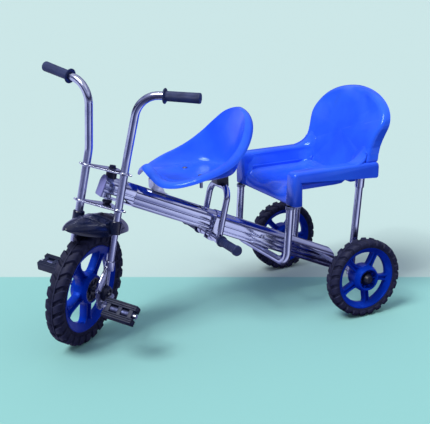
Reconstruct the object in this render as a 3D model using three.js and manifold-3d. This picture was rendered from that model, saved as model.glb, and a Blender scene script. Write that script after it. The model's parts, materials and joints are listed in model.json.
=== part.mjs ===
// A two-seat pedal tricycle. Millimetres, +X forward, +Y to the rider's left, +Z up.
// The rear axle and the ground below it set the layout; the finished model is centred on its footprint.
import * as THREE from "three";
import { mergeVertices } from "three/addons/utils/BufferGeometryUtils.js";
import Module from "manifold-3d";

const wasm = await Module();
wasm.setup();

const RAD = Math.PI / 180;

// Fits
const CLEARANCE = 0.3; // gap between neighbouring pieces
const OVERRUN = 4; // how far a cutting body runs past what it cuts
const WELD = 0.002; // points closer than this are one point

// Facets
const TUBE_SIDES = 10;
const BORE_SIDES = 6;
const ROD_SIDES = 8;
const ROUND_SIDES = 14;
const SMALL_SIDES = 10;
const RIM_SIDES = 28;
const BEND_STEP = 22.5; // degrees of a bend per facet
const SEAT_SECTORS = 26;
const EDGE_STEPS = 2;

// Rear wheels
const REAR_RADIUS = 100;
const REAR_TRACK = 404.8;
const REAR_LUGS = 24;
const REAR_RIM_OUTER = 80;
const REAR_RIM_INNER = 66;
const REAR_RIM_WIDTH = 31;
const REAR_SPOKE_WIDTH = 14;
const REAR_SPOKE_ANGLE = -25.6;
const REAR_HUB_RADIUS = 34;
const REAR_HUB_FACE_RADIUS = 28.5;
const REAR_HUB_LENGTH = 52;
const AXLE_SPACER_LENGTH = 24.3;
const HUB_RECESS_DEPTH = 16;
const HUB_WALL = 3.5;
const SPOKE_COUNT = 5;
const SPOKE_WEB = 6;
const SPOKE_FLANGE = 3.5;
const REAR_SPOKE_DEPTH = 16;
const AXLE_DIAMETER = 12;
const AXLE_CAP_RADIUS = 18;
const AXLE_CAP_LENGTH = 20;
const AXLE_CAP_WALL = 3;
const AXLE_CAP_SHARES = [0.82, 0.55]; // radius and length where the cap turns in
const AXLE_CAP_TIP_SHARE = 0.5;
const AXLE_CAP_EDGE = 1;

// Front wheel
const FRONT_RADIUS = 140.4;
const FRONT_LUGS = 28;
const FRONT_RIM_OUTER = 107;
const FRONT_RIM_INNER = 86;
const FRONT_RIM_WIDTH = 32;
const FRONT_SPOKE_WIDTH = 24;
const FRONT_SPOKE_ANGLE = -18;
const FRONT_SPOKE_DEPTH = 22;
const FRONT_HUB_RADIUS = 37;
const FRONT_HUB_FACE_RADIUS = 34;
const FRONT_HUB_LENGTH = 44;
const HUB_INSERT_RADIUS = 29.5;
const HUB_INSERT_LENGTH = 9;

// Tyres
const TYRE_WIDTH = 42;
const TYRE_BEAD_WIDTH = 31;
const TREAD_DEPTH = 5;
const RIB_WIDTH = 5;
const RIB_DROP = 1;
const TREAD_HALF_SHARE = 0.76; // tread edge as a share of half the tyre's width
const BULGE_DROP = 13;
const GROOVE_INSET = 2.5; // how much narrower the tyre is between two lugs
const RIM_NOSE_SHARE = 0.36; // width of the ring at its inner edge, as a share of its full width
const LUG_SHARE = 0.56; // share of a pitch that a lug takes
const LUG_SLOPE_SHARE = 0.14; // share of a pitch that a lug's flank takes
const LUG_SWEEP_SHARE = 0.4; // share of a pitch by which a lug trails at the shoulder

// Main beam
const BEAM_WIDTH = 40;
const BEAM_HEIGHT = 52;
const BEAM_REAR = 38;
const BEAM_FRONT = 664;
const BEAM_RISE = 278; // how far the beam's front end stands above the rear axle
const BEAM_SLOPE = Math.asin(BEAM_RISE / BEAM_FRONT) / RAD;
const BEAM_WALL = 2;
const BEAM_CORNER = 3;
const BEAM_ARC_STEPS = 6;
const GROOVE_TOP = 27; // depths of the side grooves below the crown
const GROOVE_HEIGHT = 4;
const GROOVE_DEPTH = 3;
const LOW_GROOVE_TOP = 41;
const LOW_GROOVE_HEIGHT = 3;
const LOW_GROOVE_DEPTH = 1.5;
const BEAM_WEB_TOP = 38;
const BEAM_REAR_CORNER = 15;
const NOTCH_INSET = 9; // solid end piece ahead of the notch
const NOTCH_LENGTH = 71;
const NOTCH_FRONT = BEAM_FRONT - NOTCH_INSET;
const NOTCH_REAR = NOTCH_FRONT - NOTCH_LENGTH;
const STRAP_THICKNESS = 3;
const END_CAP_THICKNESS = 3;
const END_CAP_SPIGOT = 6;
const BEAM_BOLT_PLACE = 208;
const BEAM_BOLT_SIZE = 11;
const BEAM_BOLT_HEAD = 3.5;

// Steering head and fork
const HEAD_SLOPE = 13.5;
const HEAD_INSET = 13.29; // from the beam's front end back to the head axis, along the crown
const UPPER_HEAD_GAP = 16.63; // from the beam's crown to the upper plate
const LOWER_HEAD_GAP = 12.15; // from the strap down to the lower plate
const STEER_DROP = 2; // how far the wheel's camber lowers the front when steered
const STEER_ANGLE = 40.5;
const FORK_OFFSET = 33;
const LEG_SPREAD = 51.4;
const LEG_DIAMETER = 19;
const LEG_WALL = 1.6;
const LEG_BOTTOM = 60;
const LEG_BEND_RISE = 37.6; // from the upper plate to the bend of a leg
const BAR_CORNER_X = 54;
const BAR_CORNER_Y = 66;
const BAR_CORNER_RISE = 149; // from the leg's bend to the bar's corner
const BAR_END_X = 31;
const BAR_END_Y = 203;
const BAR_END_RISE = 17; // from the bar's corner to its end
const BAR_BEND = 60;
const LEG_BEND = 120;
const GRIP_LENGTH = 84;
const GRIP_DIAMETER = 26;
const GRIP_FLANGE_DIAMETER = 37;
const GRIP_FLANGE_LENGTH = 4;
const GRIP_CROWN = 4;
const PLATE_THICKNESS = 4;
const PLATE_EYE = 14;
const PLATE_EYE_TURN = 20; // degrees by which an end's round runs past square
const PLATE_CENTRE_TURN = 55; // half of the degrees that the middle round spans
const PLATE_CENTRE_EYE = 15;
const PLATE_BOLT_RADIUS = 2.5;
const PLATE_BOLT_LENGTH = 7;
const PLATE_BOLT_SHARE = 0.75; // share of its length that stands out of the plate
const PIVOT_RADIUS = 5;
const BUSH_RADIUS = 13;
const HEX_SIZE = 15;
const LOWER_HEX_SIZE = 12;
const HEX_HEIGHT = 6;
const NECK_RADIUS = 7.5;
const CUP_RADIUS = 12;
const CUP_HEIGHT = 8;
const CUP_EDGE = 3;
const FORK_PLATE_THICKNESS = 5;
const FORK_SOCKET_RADIUS = 12;
const FORK_SOCKET_TOP = 80;
const FORK_BOLT_X = 11;
const FORK_BOLT_DROP = 27;
const FORK_BOLT_EYE = 12;
const FORK_BULGE = 40;
// The front edge of a fork end from its bolt's eye up to the leg, as shares of its bulge.
const FORK_EDGE_SHARES = [
  [0.82, -0.22],
  [0.98, 0.16],
  [1, 0.4],
  [0.86, 0.9],
  [0.6, 1.35],
];
const FORK_HEEL_SHARE = 0.75; // share of the bolt's drop at which the heel turns in
const FORK_BOLT_HEAD_SHARE = 0.7;
const CRANK_BUSH_RADIUS = 19;
const CRANK_BUSH_LENGTH = 9;

// Mudguard
const GUARD_FRONT = 132;
const GUARD_REAR = 150;
const GUARD_HALF_WIDTH = 50;
const GUARD_CROWN = 183;
const GUARD_EDGE = 144;
const GUARD_FRONT_TIP = 160;
const GUARD_REAR_TIP = 126;
const GUARD_TIP_WIDTH = 8;
const GUARD_THICKNESS = 3;
const GUARD_ARCH_STEPS = 6;
const GUARD_STATION_SHARES = [-1, -0.86, -0.62, -0.34, -0.1, 0.1, 0.34, 0.62, 0.86, 1];
const GUARD_WIDTH_SHARE = 0.8; // powers that shape the leaf: its width, its height and its arch
const GUARD_HEIGHT_SHARE = 0.64;
const GUARD_ARCH_SHARE = 0.85;
const GUARD_COLLAR_WALL = 4;
const GUARD_COLLAR_BOTTOM = 145;
const GUARD_COLLAR_TOP = 176;

// Crank and pedals
const CRANK_DIAMETER = 11.5;
const CRANK_THROW = 70;
const CRANK_ANGLE = 8;
const CRANK_BEND_Y = 73;
const CRANK_ARM_END_Y = 91;
const CRANK_TIP_Y = 181;
const CRANK_BEND = 9;
const PEDAL_INNER_Y = 98;
const PEDAL_LENGTH = 77;
const PEDAL_WIDTH = 45;
const PEDAL_HEIGHT = 24;
const PEDAL_BAR_WIDTH = 13.5;
const PEDAL_RIB_DEPTH = 2;
const PEDAL_BRIDGE_LENGTH = 10;
const PEDAL_BRIDGE_HEIGHT = 20;
const PEDAL_BRIDGE_SHARES = [0.12, 0.5, 0.88];
// Places across a bar, as shares of its width, and depths, as shares of a rib's.
const PEDAL_RIB_SHARES = [
  [0, 0],
  [0.2, 0],
  [0.28, 1],
  [0.4, 1],
  [0.48, 0],
  [0.6, 0],
  [0.68, 1],
  [0.8, 1],
  [0.88, 0.5],
];
const SLEEVE_WALL = 2.3;
const LEFT_PEDAL_TILT = 43;
const RIGHT_PEDAL_TILT = 12;

// Seat frame, posts and pegs
const POST_DIAMETER = 19;
const POST_WALL = 1.6;
const FRONT_POST_X = 181;
const FRONT_POST_LEAN = 4.3;
const FRONT_POST_BEND = 30;
const REAR_POST_INNER = AXLE_SPACER_LENGTH + 2 * CLEARANCE + POST_DIAMETER / 2;
const REAR_POST_Y = REAR_TRACK / 2 - REAR_HUB_LENGTH / 2 - REAR_POST_INNER;
const FRONT_POST_INSET = 11; // how much nearer the middle the front posts stand
const FRONT_POST_Y = REAR_POST_Y - FRONT_POST_INSET;
const REAR_POST_LEAN = 5.8;
const REAR_POST_X = -4;
const REAR_POST_DROP = 13;
const FLANGE_LENGTH = 22;
const FLANGE_WIDTH = 42;
const FLANGE_THICKNESS = 3;
const FLANGE_COLLAR = 6;
const FLANGE_WALL = 2;
const HOOP_DIAMETER = 16;
const HOOP_WALL = 1.6;
const HOOP_APEX_X = 296;
const HOOP_APEX_Z = 337;
const HOOP_HALF_WIDTH = 49.5;
const HOOP_BEND = 30;
const PEG_BAR_DIAMETER = 17;
const PEG_BAR_X = 328;
const PEG_BAR_DROP = 11;
const PEG_INNER_Y = 64;
const PEG_OUTER_Y = 150;
const PEG_DIAMETER = 22;
const PEG_FLANGE_DIAMETER = 28;
const PEG_FLANGE_LENGTH = 4;
const CLAMP_LENGTH = 22;
const CLAMP_WALL = 2;
const CLAMP_FOOT_WIDTH = 26;
const CLAMP_FOOT_DROP = 14;
const BRACKET_LENGTH = 36;
const BRACKET_INSET = 129; // from the beam's front end back to the bracket's middle
const BRACKET_WIDTH = 34;
const BRACKET_WALL = 3;
const BLOCK_LENGTH = 32;
const BLOCK_WIDTH = 34;
const BLOCK_LOW_SHARE = 0.3; // share of the post's diameter by which the block's front end stands higher
const SCREW_RADIUS = 4;
const SCREW_HEAD_RADIUS = 7;
const SCREW_HEAD_HEIGHT = 2.5;
const SCREW_DOME_SHARE = 0.7;
const SCREW_LENGTH = 34;
const SCREW_X = 370;
const SCREW_Y = 48;
const NUT_HEIGHT = 6;

// Front seat
const FRONT_SEAT_X = 360;
const FRONT_SEAT_Z = 380;
const FRONT_SEAT_HALF_WIDTH = 123;
const FRONT_SEAT_NOSE = 122;
const FRONT_SEAT_BACK = 116;
const FRONT_SEAT_RISE = 148;
const FRONT_SEAT_WALL = 4;
const FRONT_SEAT_EXPONENT_SHARE = 2.3; // 2 is an ellipse, more is squarer
const FRONT_LIP_OUT = 20;
const FRONT_LIP_DROP = 13;
const RIM_RISE_SHARES = [0.236, 0.15, 0.04, 0.04, 0.09, 0.16, 0.23, 0.335, 0.5, 0.7, 0.87, 0.96, 1];
const BOWL_SHARES = [
  [0.35, 0],
  [0.66, 0],
  [0.78, 0.06],
  [0.9, 0.45],
  [0.97, 0.85],
  [1, 1],
];
const LIP_SHARES = [
  [0.42, 0],
  [0.82, 0.38],
  [1, 1],
];

// Rear seat
const SEAT_WALL = 4;
const PAN_TOP = 326;
const ARM_OUTER_INSET = 5.5; // from a rear post to the arm's outer face
const ARM_WIDTH = 49;
const ARM_FLARE = 10; // how far the arm's inner face leans out as it rises
const ARM_OUTER_Y = REAR_POST_Y + POST_DIAMETER / 2 + ARM_OUTER_INSET;
const PAN_HALF_WIDTH = ARM_OUTER_Y - ARM_WIDTH;
const ARM_INNER_TOP_Y = PAN_HALF_WIDTH + ARM_FLARE;
const PAN_FRONT_X = 140;
const COVE_WIDTH = 42; // the curve from the flat of the pan up to an arm
const COVE_RISE = 20;
const COVE_STEPS = 3;
const HEEL_LENGTH = 24; // the curve from the pan up to the back
const HEEL_RISE = 20;
const SKIRT_FRONT_X = 168;
const SKIRT_BOTTOM = 294;
const SKIRT_ROLL_SHARES = [
  [0, 0],
  [0.43, 0.12],
  [0.76, 0.38],
  [0.94, 0.7],
  [1, 1],
];
const ARM_TOP = 380;
const ARM_REAR_X = -78;
const ARM_FRONT_X = 173;
const ARM_SKIRT_REAR_Z = 336;
const ARM_SKIRT_FRONT_Z = 358;
const ARM_EDGE = 9;
const LEG_REAR_X = 147;
const SEAT_LEG_BOTTOM = 296;
const BACK_FOOT_X = -18;
const BACK_LEAN = 19.7;
const BACK_TOP = 551;
const BACK_CENTRE_Z = 470;
const BACK_OVERHANG = 4; // how far the back's head stands out past an arm
const BACK_WAIST = 13; // how much the back draws in below its head, on each side
const BACK_FOOT_INSET = 3;
const BACK_HALF_WIDTH = ARM_OUTER_Y + BACK_OVERHANG;
const BACK_NECK_Z = 415;
const BACK_NECK_HALF_WIDTH = BACK_HALF_WIDTH - BACK_WAIST;
const BACK_FOOT_HALF_WIDTH = ARM_OUTER_Y - BACK_FOOT_INSET;
const BACK_EDGE = 11;
const BACK_DEPTH_TOP = 26;
const BACK_DEPTH_FOOT = 38;
const GUSSET_LENGTH = 48; // the curve from an arm's top up to the back
const GUSSET_HEIGHT = 40;
const GUSSET_SHARES = [
  [1, 0],
  [0.58, 0.07],
  [0.3, 0.24],
  [0.1, 0.56],
  [0, 1],
];
const BACK_ARC_STEPS = 14;

// Finishes
const CHROME = { color: 0xb9bfe0, roughness: 0.22, metalness: 0.95 };
const STEEL = { color: 0x9aa0b4, roughness: 0.35, metalness: 0.9 };
const BLUE = { color: 0x2a55f0, roughness: 0.38, metalness: 0 };
const WHEEL_BLUE = { color: 0x0f2aa8, roughness: 0.4, metalness: 0 };
const RUBBER = { color: 0x26273a, roughness: 0.75, metalness: 0 };
const BLACK = { color: 0x16182a, roughness: 0.5, metalness: 0 };
const GREY = { color: 0x5d6684, roughness: 0.5, metalness: 0 };

// Solids and meshes

function signedVolume(positions, index) {
  const a = new THREE.Vector3();
  const b = new THREE.Vector3();
  const c = new THREE.Vector3();
  let total = 0;
  for (let i = 0; i < index.length; i += 3) {
    a.fromArray(positions, 3 * index[i]);
    b.fromArray(positions, 3 * index[i + 1]);
    c.fromArray(positions, 3 * index[i + 2]);
    total += a.dot(b.cross(c));
  }
  return total;
}

// The triangles whose three corners are three different points.
function wholeTriangles(index) {
  const kept = [];
  for (let i = 0; i < index.length; i += 3) {
    const [a, b, c] = [index[i], index[i + 1], index[i + 2]];
    if (a !== b && b !== c && c !== a) kept.push(a, b, c);
  }
  return new Uint32Array(kept);
}

// A closed geometry becomes a solid whose faces point out, whichever way they were wound.
function solid(geometry) {
  const bare = geometry.clone();
  bare.deleteAttribute("normal");
  bare.deleteAttribute("uv");
  const merged = mergeVertices(bare, WELD);
  const positions = merged.getAttribute("position").array;
  const index = wholeTriangles(merged.index.array);
  if (signedVolume(positions, index) < 0) {
    for (let i = 0; i < index.length; i += 3) {
      [index[i + 1], index[i + 2]] = [index[i + 2], index[i + 1]];
    }
  }
  return new wasm.Manifold(new wasm.Mesh({ numProp: 3, vertProperties: positions, triVerts: index }));
}

function geometryOf(body) {
  const mesh = body.getMesh();
  const geometry = new THREE.BufferGeometry();
  geometry.setAttribute("position", new THREE.BufferAttribute(new Float32Array(mesh.vertProperties), 3));
  geometry.setIndex(new THREE.BufferAttribute(new Uint32Array(mesh.triVerts), 1));
  const flat = geometry.toNonIndexed();
  flat.computeVertexNormals();
  return flat;
}

const join = (...bodies) => bodies.reduce((whole, body) => whole.add(body));
const cut = (body, ...tools) => tools.reduce((whole, tool) => whole.subtract(tool), body);

function piece(name, body, finish) {
  const mesh = new THREE.Mesh(geometryOf(body), new THREE.MeshStandardMaterial(finish));
  mesh.name = name;
  return mesh;
}

const mirrored = (body) => solid(geometryOf(body).scale(1, -1, 1));

// The same piece on the left and, mirrored, on the right.
function pair(name, body, finish) {
  return [piece(name + "_left", body, finish), piece(name + "_right", mirrored(body), finish)];
}

// Outlines and extrusions

// Points as vectors, taken counter-clockwise, whichever way they were listed.
function counterClockwise(points) {
  const vectors = points.map(([x, y]) => new THREE.Vector2(x, y));
  return THREE.ShapeUtils.area(vectors) > 0 ? vectors : vectors.reverse();
}

function shapeOf(points, holes = []) {
  const shape = new THREE.Shape(counterClockwise(points));
  shape.holes = holes.map((hole) => new THREE.Path(counterClockwise(hole).reverse()));
  return shape;
}

function regular(radius, sides, turn = 0) {
  const points = [];
  for (let i = 0; i < sides; i += 1) {
    const angle = turn + (2 * Math.PI * i) / sides;
    points.push([radius * Math.cos(angle), radius * Math.sin(angle)]);
  }
  return points;
}

function arc(x, y, radius, fromDegrees, toDegrees, steps) {
  const points = [];
  for (let i = 0; i <= steps; i += 1) {
    const angle = (fromDegrees + ((toDegrees - fromDegrees) * i) / steps) * RAD;
    points.push([x + radius * Math.cos(angle), y + radius * Math.sin(angle)]);
  }
  return points;
}

// A flat outline, with holes, made thick along +Z from z = from to z = to.
function slab(points, from, to, holes = []) {
  const options = { depth: to - from, bevelEnabled: false };
  const geometry = new THREE.ExtrudeGeometry(shapeOf(points, holes), options);
  return geometry.translate(0, 0, from);
}

// An outline in (x, z) made thick across Y, from y = from to y = to.
const acrossY = (points, from, to, holes = []) =>
  slab(points, -to, -from, holes).rotateX(Math.PI / 2);

// An outline in (y, z) made thick along X, from x = from to x = to.
const YZX = new THREE.Matrix4().makeBasis(
  new THREE.Vector3(0, 1, 0),
  new THREE.Vector3(0, 0, 1),
  new THREE.Vector3(1, 0, 0),
);
const alongX = (points, from, to, holes = []) => slab(points, from, to, holes).applyMatrix4(YZX);

// The same with both ends rounded off inside the outline.
function roundedAlongX(points, from, to, edge) {
  const options = {
    depth: to - from - 2 * edge,
    bevelThickness: edge,
    bevelSize: edge,
    bevelOffset: -edge,
    bevelSegments: EDGE_STEPS,
  };
  const geometry = new THREE.ExtrudeGeometry(shapeOf(points), options);
  return geometry.translate(0, 0, from + edge).applyMatrix4(YZX);
}

// A profile of (radius, height) pairs turned about Z; the profile closes on itself.
function turned(profile, sides) {
  const closed = [...profile, profile[0]].map(([r, h]) => new THREE.Vector2(r, h));
  return new THREE.LatheGeometry(closed, sides).rotateX(Math.PI / 2);
}

// A profile of (radius, y) pairs turned about the Y axis.
const turnedY = (profile, sides) => turned(profile, sides).rotateX(-Math.PI / 2);

// The corner radius of a faceted bore that clears a round of the given radius all the way round.
const bored = (radius, sides = ROUND_SIDES) => (radius + CLEARANCE) / Math.cos(Math.PI / sides);

const rod = (radius, from, to, sides = ROUND_SIDES) => slab(regular(radius, sides), from, to);

const rodY = (radius, from, to, sides = ROUND_SIDES) =>
  acrossY(regular(radius, sides), from, to);

// Tubes along a bent route

// A route whose steps land on every station, each with its own direction.
class StationCurve extends THREE.Curve {
  constructor(stations) {
    super();
    this.stations = stations;
  }

  station(share) {
    return this.stations[Math.round(share * (this.stations.length - 1))];
  }

  getPointAt(share, target = new THREE.Vector3()) {
    return target.copy(this.station(share).point);
  }

  getTangentAt(share, target = new THREE.Vector3()) {
    return target.copy(this.station(share).direction);
  }
}

// Straight runs between corner points, each corner rounded to its radius.
function route(corners, radii) {
  const points = corners.map(([x, y, z]) => new THREE.Vector3(x, y, z));
  const directions = points.slice(1).map((p, i) => p.clone().sub(points[i]).normalize());
  const stations = [{ point: points[0], direction: directions[0] }];
  for (let i = 1; i < points.length - 1; i += 1) {
    const before = directions[i - 1];
    const after = directions[i];
    const turn = before.angleTo(after);
    const radius = radii[i - 1];
    const inset = radius * Math.tan(turn / 2);
    const start = points[i].clone().addScaledVector(before, -inset);
    const inward = after.clone().addScaledVector(before, -after.dot(before)).normalize();
    const centre = start.clone().addScaledVector(inward, radius);
    const steps = Math.max(2, Math.ceil(turn / RAD / BEND_STEP));
    for (let k = 0; k <= steps; k += 1) {
      const angle = (turn * k) / steps;
      const direction = before.clone().multiplyScalar(Math.cos(angle));
      direction.addScaledVector(inward, Math.sin(angle));
      const point = centre.clone().addScaledVector(inward, -radius * Math.cos(angle));
      point.addScaledVector(before, radius * Math.sin(angle));
      stations.push({ point, direction });
    }
  }
  stations.push({ point: points[points.length - 1], direction: directions[directions.length - 1] });
  return stations;
}

function tube(stations, radius, wall = 0, sides = TUBE_SIDES) {
  const bores = wall > 0 ? [regular(radius - wall, BORE_SIDES)] : [];
  const section = shapeOf(regular(radius, sides), bores);
  const extrudePath = new StationCurve(stations);
  const geometry = new THREE.ExtrudeGeometry(section, { steps: stations.length - 1, extrudePath });
  return solid(geometry);
}

// The main beam's own frame: s along the beam, h square to it, both from the rear axle.
const beamAxis = [Math.cos(BEAM_SLOPE * RAD), Math.sin(BEAM_SLOPE * RAD)];
const AXLE_HEIGHT = REAR_RADIUS;
const beamPoint = (s, h) => [
  s * beamAxis[0] - h * beamAxis[1],
  AXLE_HEIGHT + s * beamAxis[1] + h * beamAxis[0],
];
const beamHeightOf = (x, z) => (z - AXLE_HEIGHT) * beamAxis[0] - x * beamAxis[1];
const beamPlaceOf = (x, z) => x * beamAxis[0] + (z - AXLE_HEIGHT) * beamAxis[1];
// Height above the ground, at x, of the line that lies h above the beam's centre.
const beamLevel = (x, h) => AXLE_HEIGHT + (h + x * beamAxis[1]) / beamAxis[0];
const onBeam = (geometry) => {
  const turn = new THREE.Matrix4().makeBasis(
    new THREE.Vector3(beamAxis[0], 0, beamAxis[1]),
    new THREE.Vector3(0, 1, 0),
    new THREE.Vector3(-beamAxis[1], 0, beamAxis[0]),
  );
  return geometry.applyMatrix4(turn.setPosition(0, 0, AXLE_HEIGHT));
};

// The beam's section in (y, h): a round crown over straight sides with grooves.
function beamSection(inset, grooved = true) {
  const half = BEAM_WIDTH / 2;
  const crown = BEAM_HEIGHT / 2;
  const width = half - inset;
  const side = (top, height, depth) => [
    [width, crown - top],
    [width - depth, crown - top],
    [width - depth, crown - top - height],
    [width, crown - top - height],
  ];
  const right = [
    ...(grooved ? side(GROOVE_TOP, GROOVE_HEIGHT, GROOVE_DEPTH) : []),
    ...(grooved ? side(LOW_GROOVE_TOP, LOW_GROOVE_HEIGHT, LOW_GROOVE_DEPTH) : []),
    [width, -crown + inset + BEAM_CORNER],
    [width - BEAM_CORNER, -crown + inset],
  ];
  const left = right.map(([y, h]) => [-y, h]).reverse();
  return [...arc(0, crown - half, width, 180, 0, BEAM_ARC_STEPS), ...right, ...left];
}

// The two hollows of the beam's section, above and below its inner web.
function beamHollows() {
  const crown = BEAM_HEIGHT / 2;
  const half = BEAM_WIDTH / 2 - GROOVE_DEPTH - BEAM_WALL;
  const webTop = crown - BEAM_WEB_TOP;
  const round = arc(0, crown - BEAM_WIDTH / 2, half, 180, 0, BEAM_ARC_STEPS);
  const upper = [...round, [half, webTop], [-half, webTop]];
  const floor = -crown + STRAP_THICKNESS;
  const ceiling = webTop - BEAM_WALL;
  const lower = [
    [-half, floor],
    [half, floor],
    [half, ceiling],
    [-half, ceiling],
  ];
  return [upper, lower];
}

function mainBeam() {
  const crown = BEAM_HEIGHT / 2;
  const drift = Math.tan(BEAM_SLOPE * RAD);
  const rearMost = -BEAM_REAR - BEAM_HEIGHT;
  const cavity = (hollow) => solid(alongX(hollow, rearMost - OVERRUN, BEAM_FRONT + OVERRUN));
  const hollows = beamHollows().map(cavity);
  const long = cut(solid(alongX(beamSection(0), rearMost, BEAM_FRONT)), ...hollows);
  const rearTop = -BEAM_REAR + crown * drift;
  const side = [
    [-BEAM_REAR - crown * drift, -crown - OVERRUN],
    [BEAM_FRONT + OVERRUN, -crown - OVERRUN],
    [BEAM_FRONT + OVERRUN, crown + OVERRUN],
    [rearTop + BEAM_REAR_CORNER, crown + OVERRUN],
    [rearTop + BEAM_REAR_CORNER, crown],
    [rearTop + BEAM_REAR_CORNER / 3, crown - BEAM_REAR_CORNER / 4],
    [rearTop - BEAM_REAR_CORNER * drift, crown - BEAM_REAR_CORNER],
  ];
  const trimmed = long.intersect(solid(acrossY(side, -BEAM_WIDTH, BEAM_WIDTH)));
  const notchTop = crown - BEAM_WEB_TOP - BEAM_WALL;
  const notchFloor = -crown + STRAP_THICKNESS;
  const notch = [
    [NOTCH_REAR, notchFloor],
    [NOTCH_FRONT, notchFloor],
    [NOTCH_FRONT, notchTop],
    [NOTCH_REAR + (notchTop - notchFloor), notchTop],
  ];
  const axleHole = solid(rodY(bored(AXLE_DIAMETER / 2), -BEAM_WIDTH, BEAM_WIDTH));
  const notched = cut(trimmed, solid(acrossY(notch, -BEAM_WIDTH, BEAM_WIDTH)), axleHole);
  const bolts = cut(onBeamSolid(notched), pivotHole(UPPER_PLATE_HEIGHT), pivotHole(LOWER_PLATE_HEIGHT));
  return bolts;
}

const onBeamSolid = (body) => solid(onBeam(geometryOf(body)));

// The head axis crosses the beam's crown a little behind the beam's front end.
const HEAD_Z = FRONT_RADIUS + STEER_DROP - FORK_OFFSET * Math.sin(HEAD_SLOPE * RAD);
const headCrossing = beamPoint(BEAM_FRONT - HEAD_INSET, BEAM_HEIGHT / 2);
const CROWN_T = (headCrossing[1] - HEAD_Z) / Math.cos(HEAD_SLOPE * RAD);
const HEAD_X = headCrossing[0] + CROWN_T * Math.sin(HEAD_SLOPE * RAD);

// The head axis in the frame's coordinates: a point at height t above the axle's level.
const headPoint = (t) => [HEAD_X - t * Math.sin(HEAD_SLOPE * RAD), HEAD_Z + t * Math.cos(HEAD_SLOPE * RAD)];
const onHead = (geometry) => geometry.rotateY(-HEAD_SLOPE * RAD).translate(HEAD_X, 0, HEAD_Z);

// Heights on the head axis: where it meets the strap below the beam's notch, and of the plates.
function headAt(h) {
  const [x0, z0] = headPoint(0);
  const rise = Math.cos(HEAD_SLOPE * RAD) * beamAxis[0] + Math.sin(HEAD_SLOPE * RAD) * beamAxis[1];
  return (h - beamHeightOf(x0, z0)) / rise;
}
const STRAP_TOP_T = headAt(-BEAM_HEIGHT / 2 + STRAP_THICKNESS);
const STRAP_T = headAt(-BEAM_HEIGHT / 2);
const UPPER_PLATE_HEIGHT = CROWN_T + UPPER_HEAD_GAP + PLATE_THICKNESS / 2;
const LOWER_PLATE_HEIGHT = STRAP_T - LOWER_HEAD_GAP - PLATE_THICKNESS / 2;
const LEG_BEND_HEIGHT = UPPER_PLATE_HEIGHT + LEG_BEND_RISE;
const BAR_CORNER_HEIGHT = LEG_BEND_HEIGHT + BAR_CORNER_RISE;
const BAR_END_HEIGHT = BAR_CORNER_HEIGHT + BAR_END_RISE;

// A hole on the head axis: for the upper bolt through the crown, or for the lower through the strap.
function pivotHole(plateHeight) {
  const upper = plateHeight > CROWN_T;
  const from = upper ? CROWN_T - HEX_SIZE : STRAP_T - BUSH_RADIUS;
  const to = upper ? CROWN_T + HEX_SIZE : STRAP_TOP_T + BUSH_RADIUS / 2;
  return solid(onHead(rod(bored(PIVOT_RADIUS), from, to)));
}

function beamEndCap() {
  const plate = solid(alongX(beamSection(0, false), BEAM_FRONT + CLEARANCE, BEAM_FRONT + END_CAP_THICKNESS));
  const crown = BEAM_HEIGHT / 2;
  const half = BEAM_WIDTH / 2 - GROOVE_DEPTH - BEAM_WALL - CLEARANCE;
  const spigot = [
    ...arc(0, crown - BEAM_WIDTH / 2, half, 180, 0, BEAM_ARC_STEPS),
    [half, crown - BEAM_WEB_TOP + CLEARANCE],
    [-half, crown - BEAM_WEB_TOP + CLEARANCE],
  ];
  const plug = solid(alongX(spigot, BEAM_FRONT - END_CAP_SPIGOT, BEAM_FRONT + END_CAP_THICKNESS / 2));
  return onBeamSolid(join(plate, plug));
}

// A solid around the beam that pieces seated on it are cut by.
const beamEnvelope = (gap) =>
  solid(onBeam(alongX(beamSection(-gap, false), -BEAM_HEIGHT, BEAM_FRONT + BEAM_HEIGHT)));

// The dark bush between the beam's crown and the upper plate.
function upperBush() {
  const top = UPPER_PLATE_HEIGHT - PLATE_THICKNESS / 2 - CLEARANCE;
  const profile = [
    [bored(PIVOT_RADIUS), CROWN_T - BUSH_RADIUS],
    [BUSH_RADIUS, CROWN_T - BUSH_RADIUS],
    [BUSH_RADIUS, top],
    [bored(PIVOT_RADIUS), top],
  ];
  return cut(solid(onHead(turned(profile, ROUND_SIDES))), beamEnvelope(CLEARANCE));
}

// The neck below the strap, cut square to the strap at its top.
function lowerNeck() {
  const profile = [
    [bored(PIVOT_RADIUS), lowerCupTop() + CLEARANCE],
    [NECK_RADIUS, lowerCupTop() + CLEARANCE],
    [NECK_RADIUS, STRAP_T + NECK_RADIUS],
    [bored(PIVOT_RADIUS), STRAP_T + NECK_RADIUS],
  ];
  return cut(solid(onHead(turned(profile, ROUND_SIDES))), beamEnvelope(CLEARANCE));
}

const lowerCupTop = () => LOWER_PLATE_HEIGHT + PLATE_THICKNESS / 2 + CLEARANCE + CUP_HEIGHT;

function lowerCup() {
  const bottom = LOWER_PLATE_HEIGHT + PLATE_THICKNESS / 2 + CLEARANCE;
  const profile = [
    [bored(PIVOT_RADIUS), bottom],
    [CUP_RADIUS - CUP_EDGE, bottom],
    [CUP_RADIUS, bottom + CUP_HEIGHT / 2],
    [CUP_RADIUS - CUP_EDGE / 2, bottom + CUP_HEIGHT],
    [bored(PIVOT_RADIUS), bottom + CUP_HEIGHT],
  ];
  return solid(onHead(turned(profile, ROUND_SIDES)));
}

function beamBolt() {
  const out = BEAM_WIDTH / 2 + CLEARANCE;
  const head = regular(BEAM_BOLT_SIZE / 2, 6).map(([x, z]) => [x + BEAM_BOLT_PLACE, z]);
  return onBeamSolid(solid(acrossY(head, out, out + BEAM_BOLT_HEAD)));
}

// Wheels, turned about Y with the wheel's middle at the origin

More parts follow.
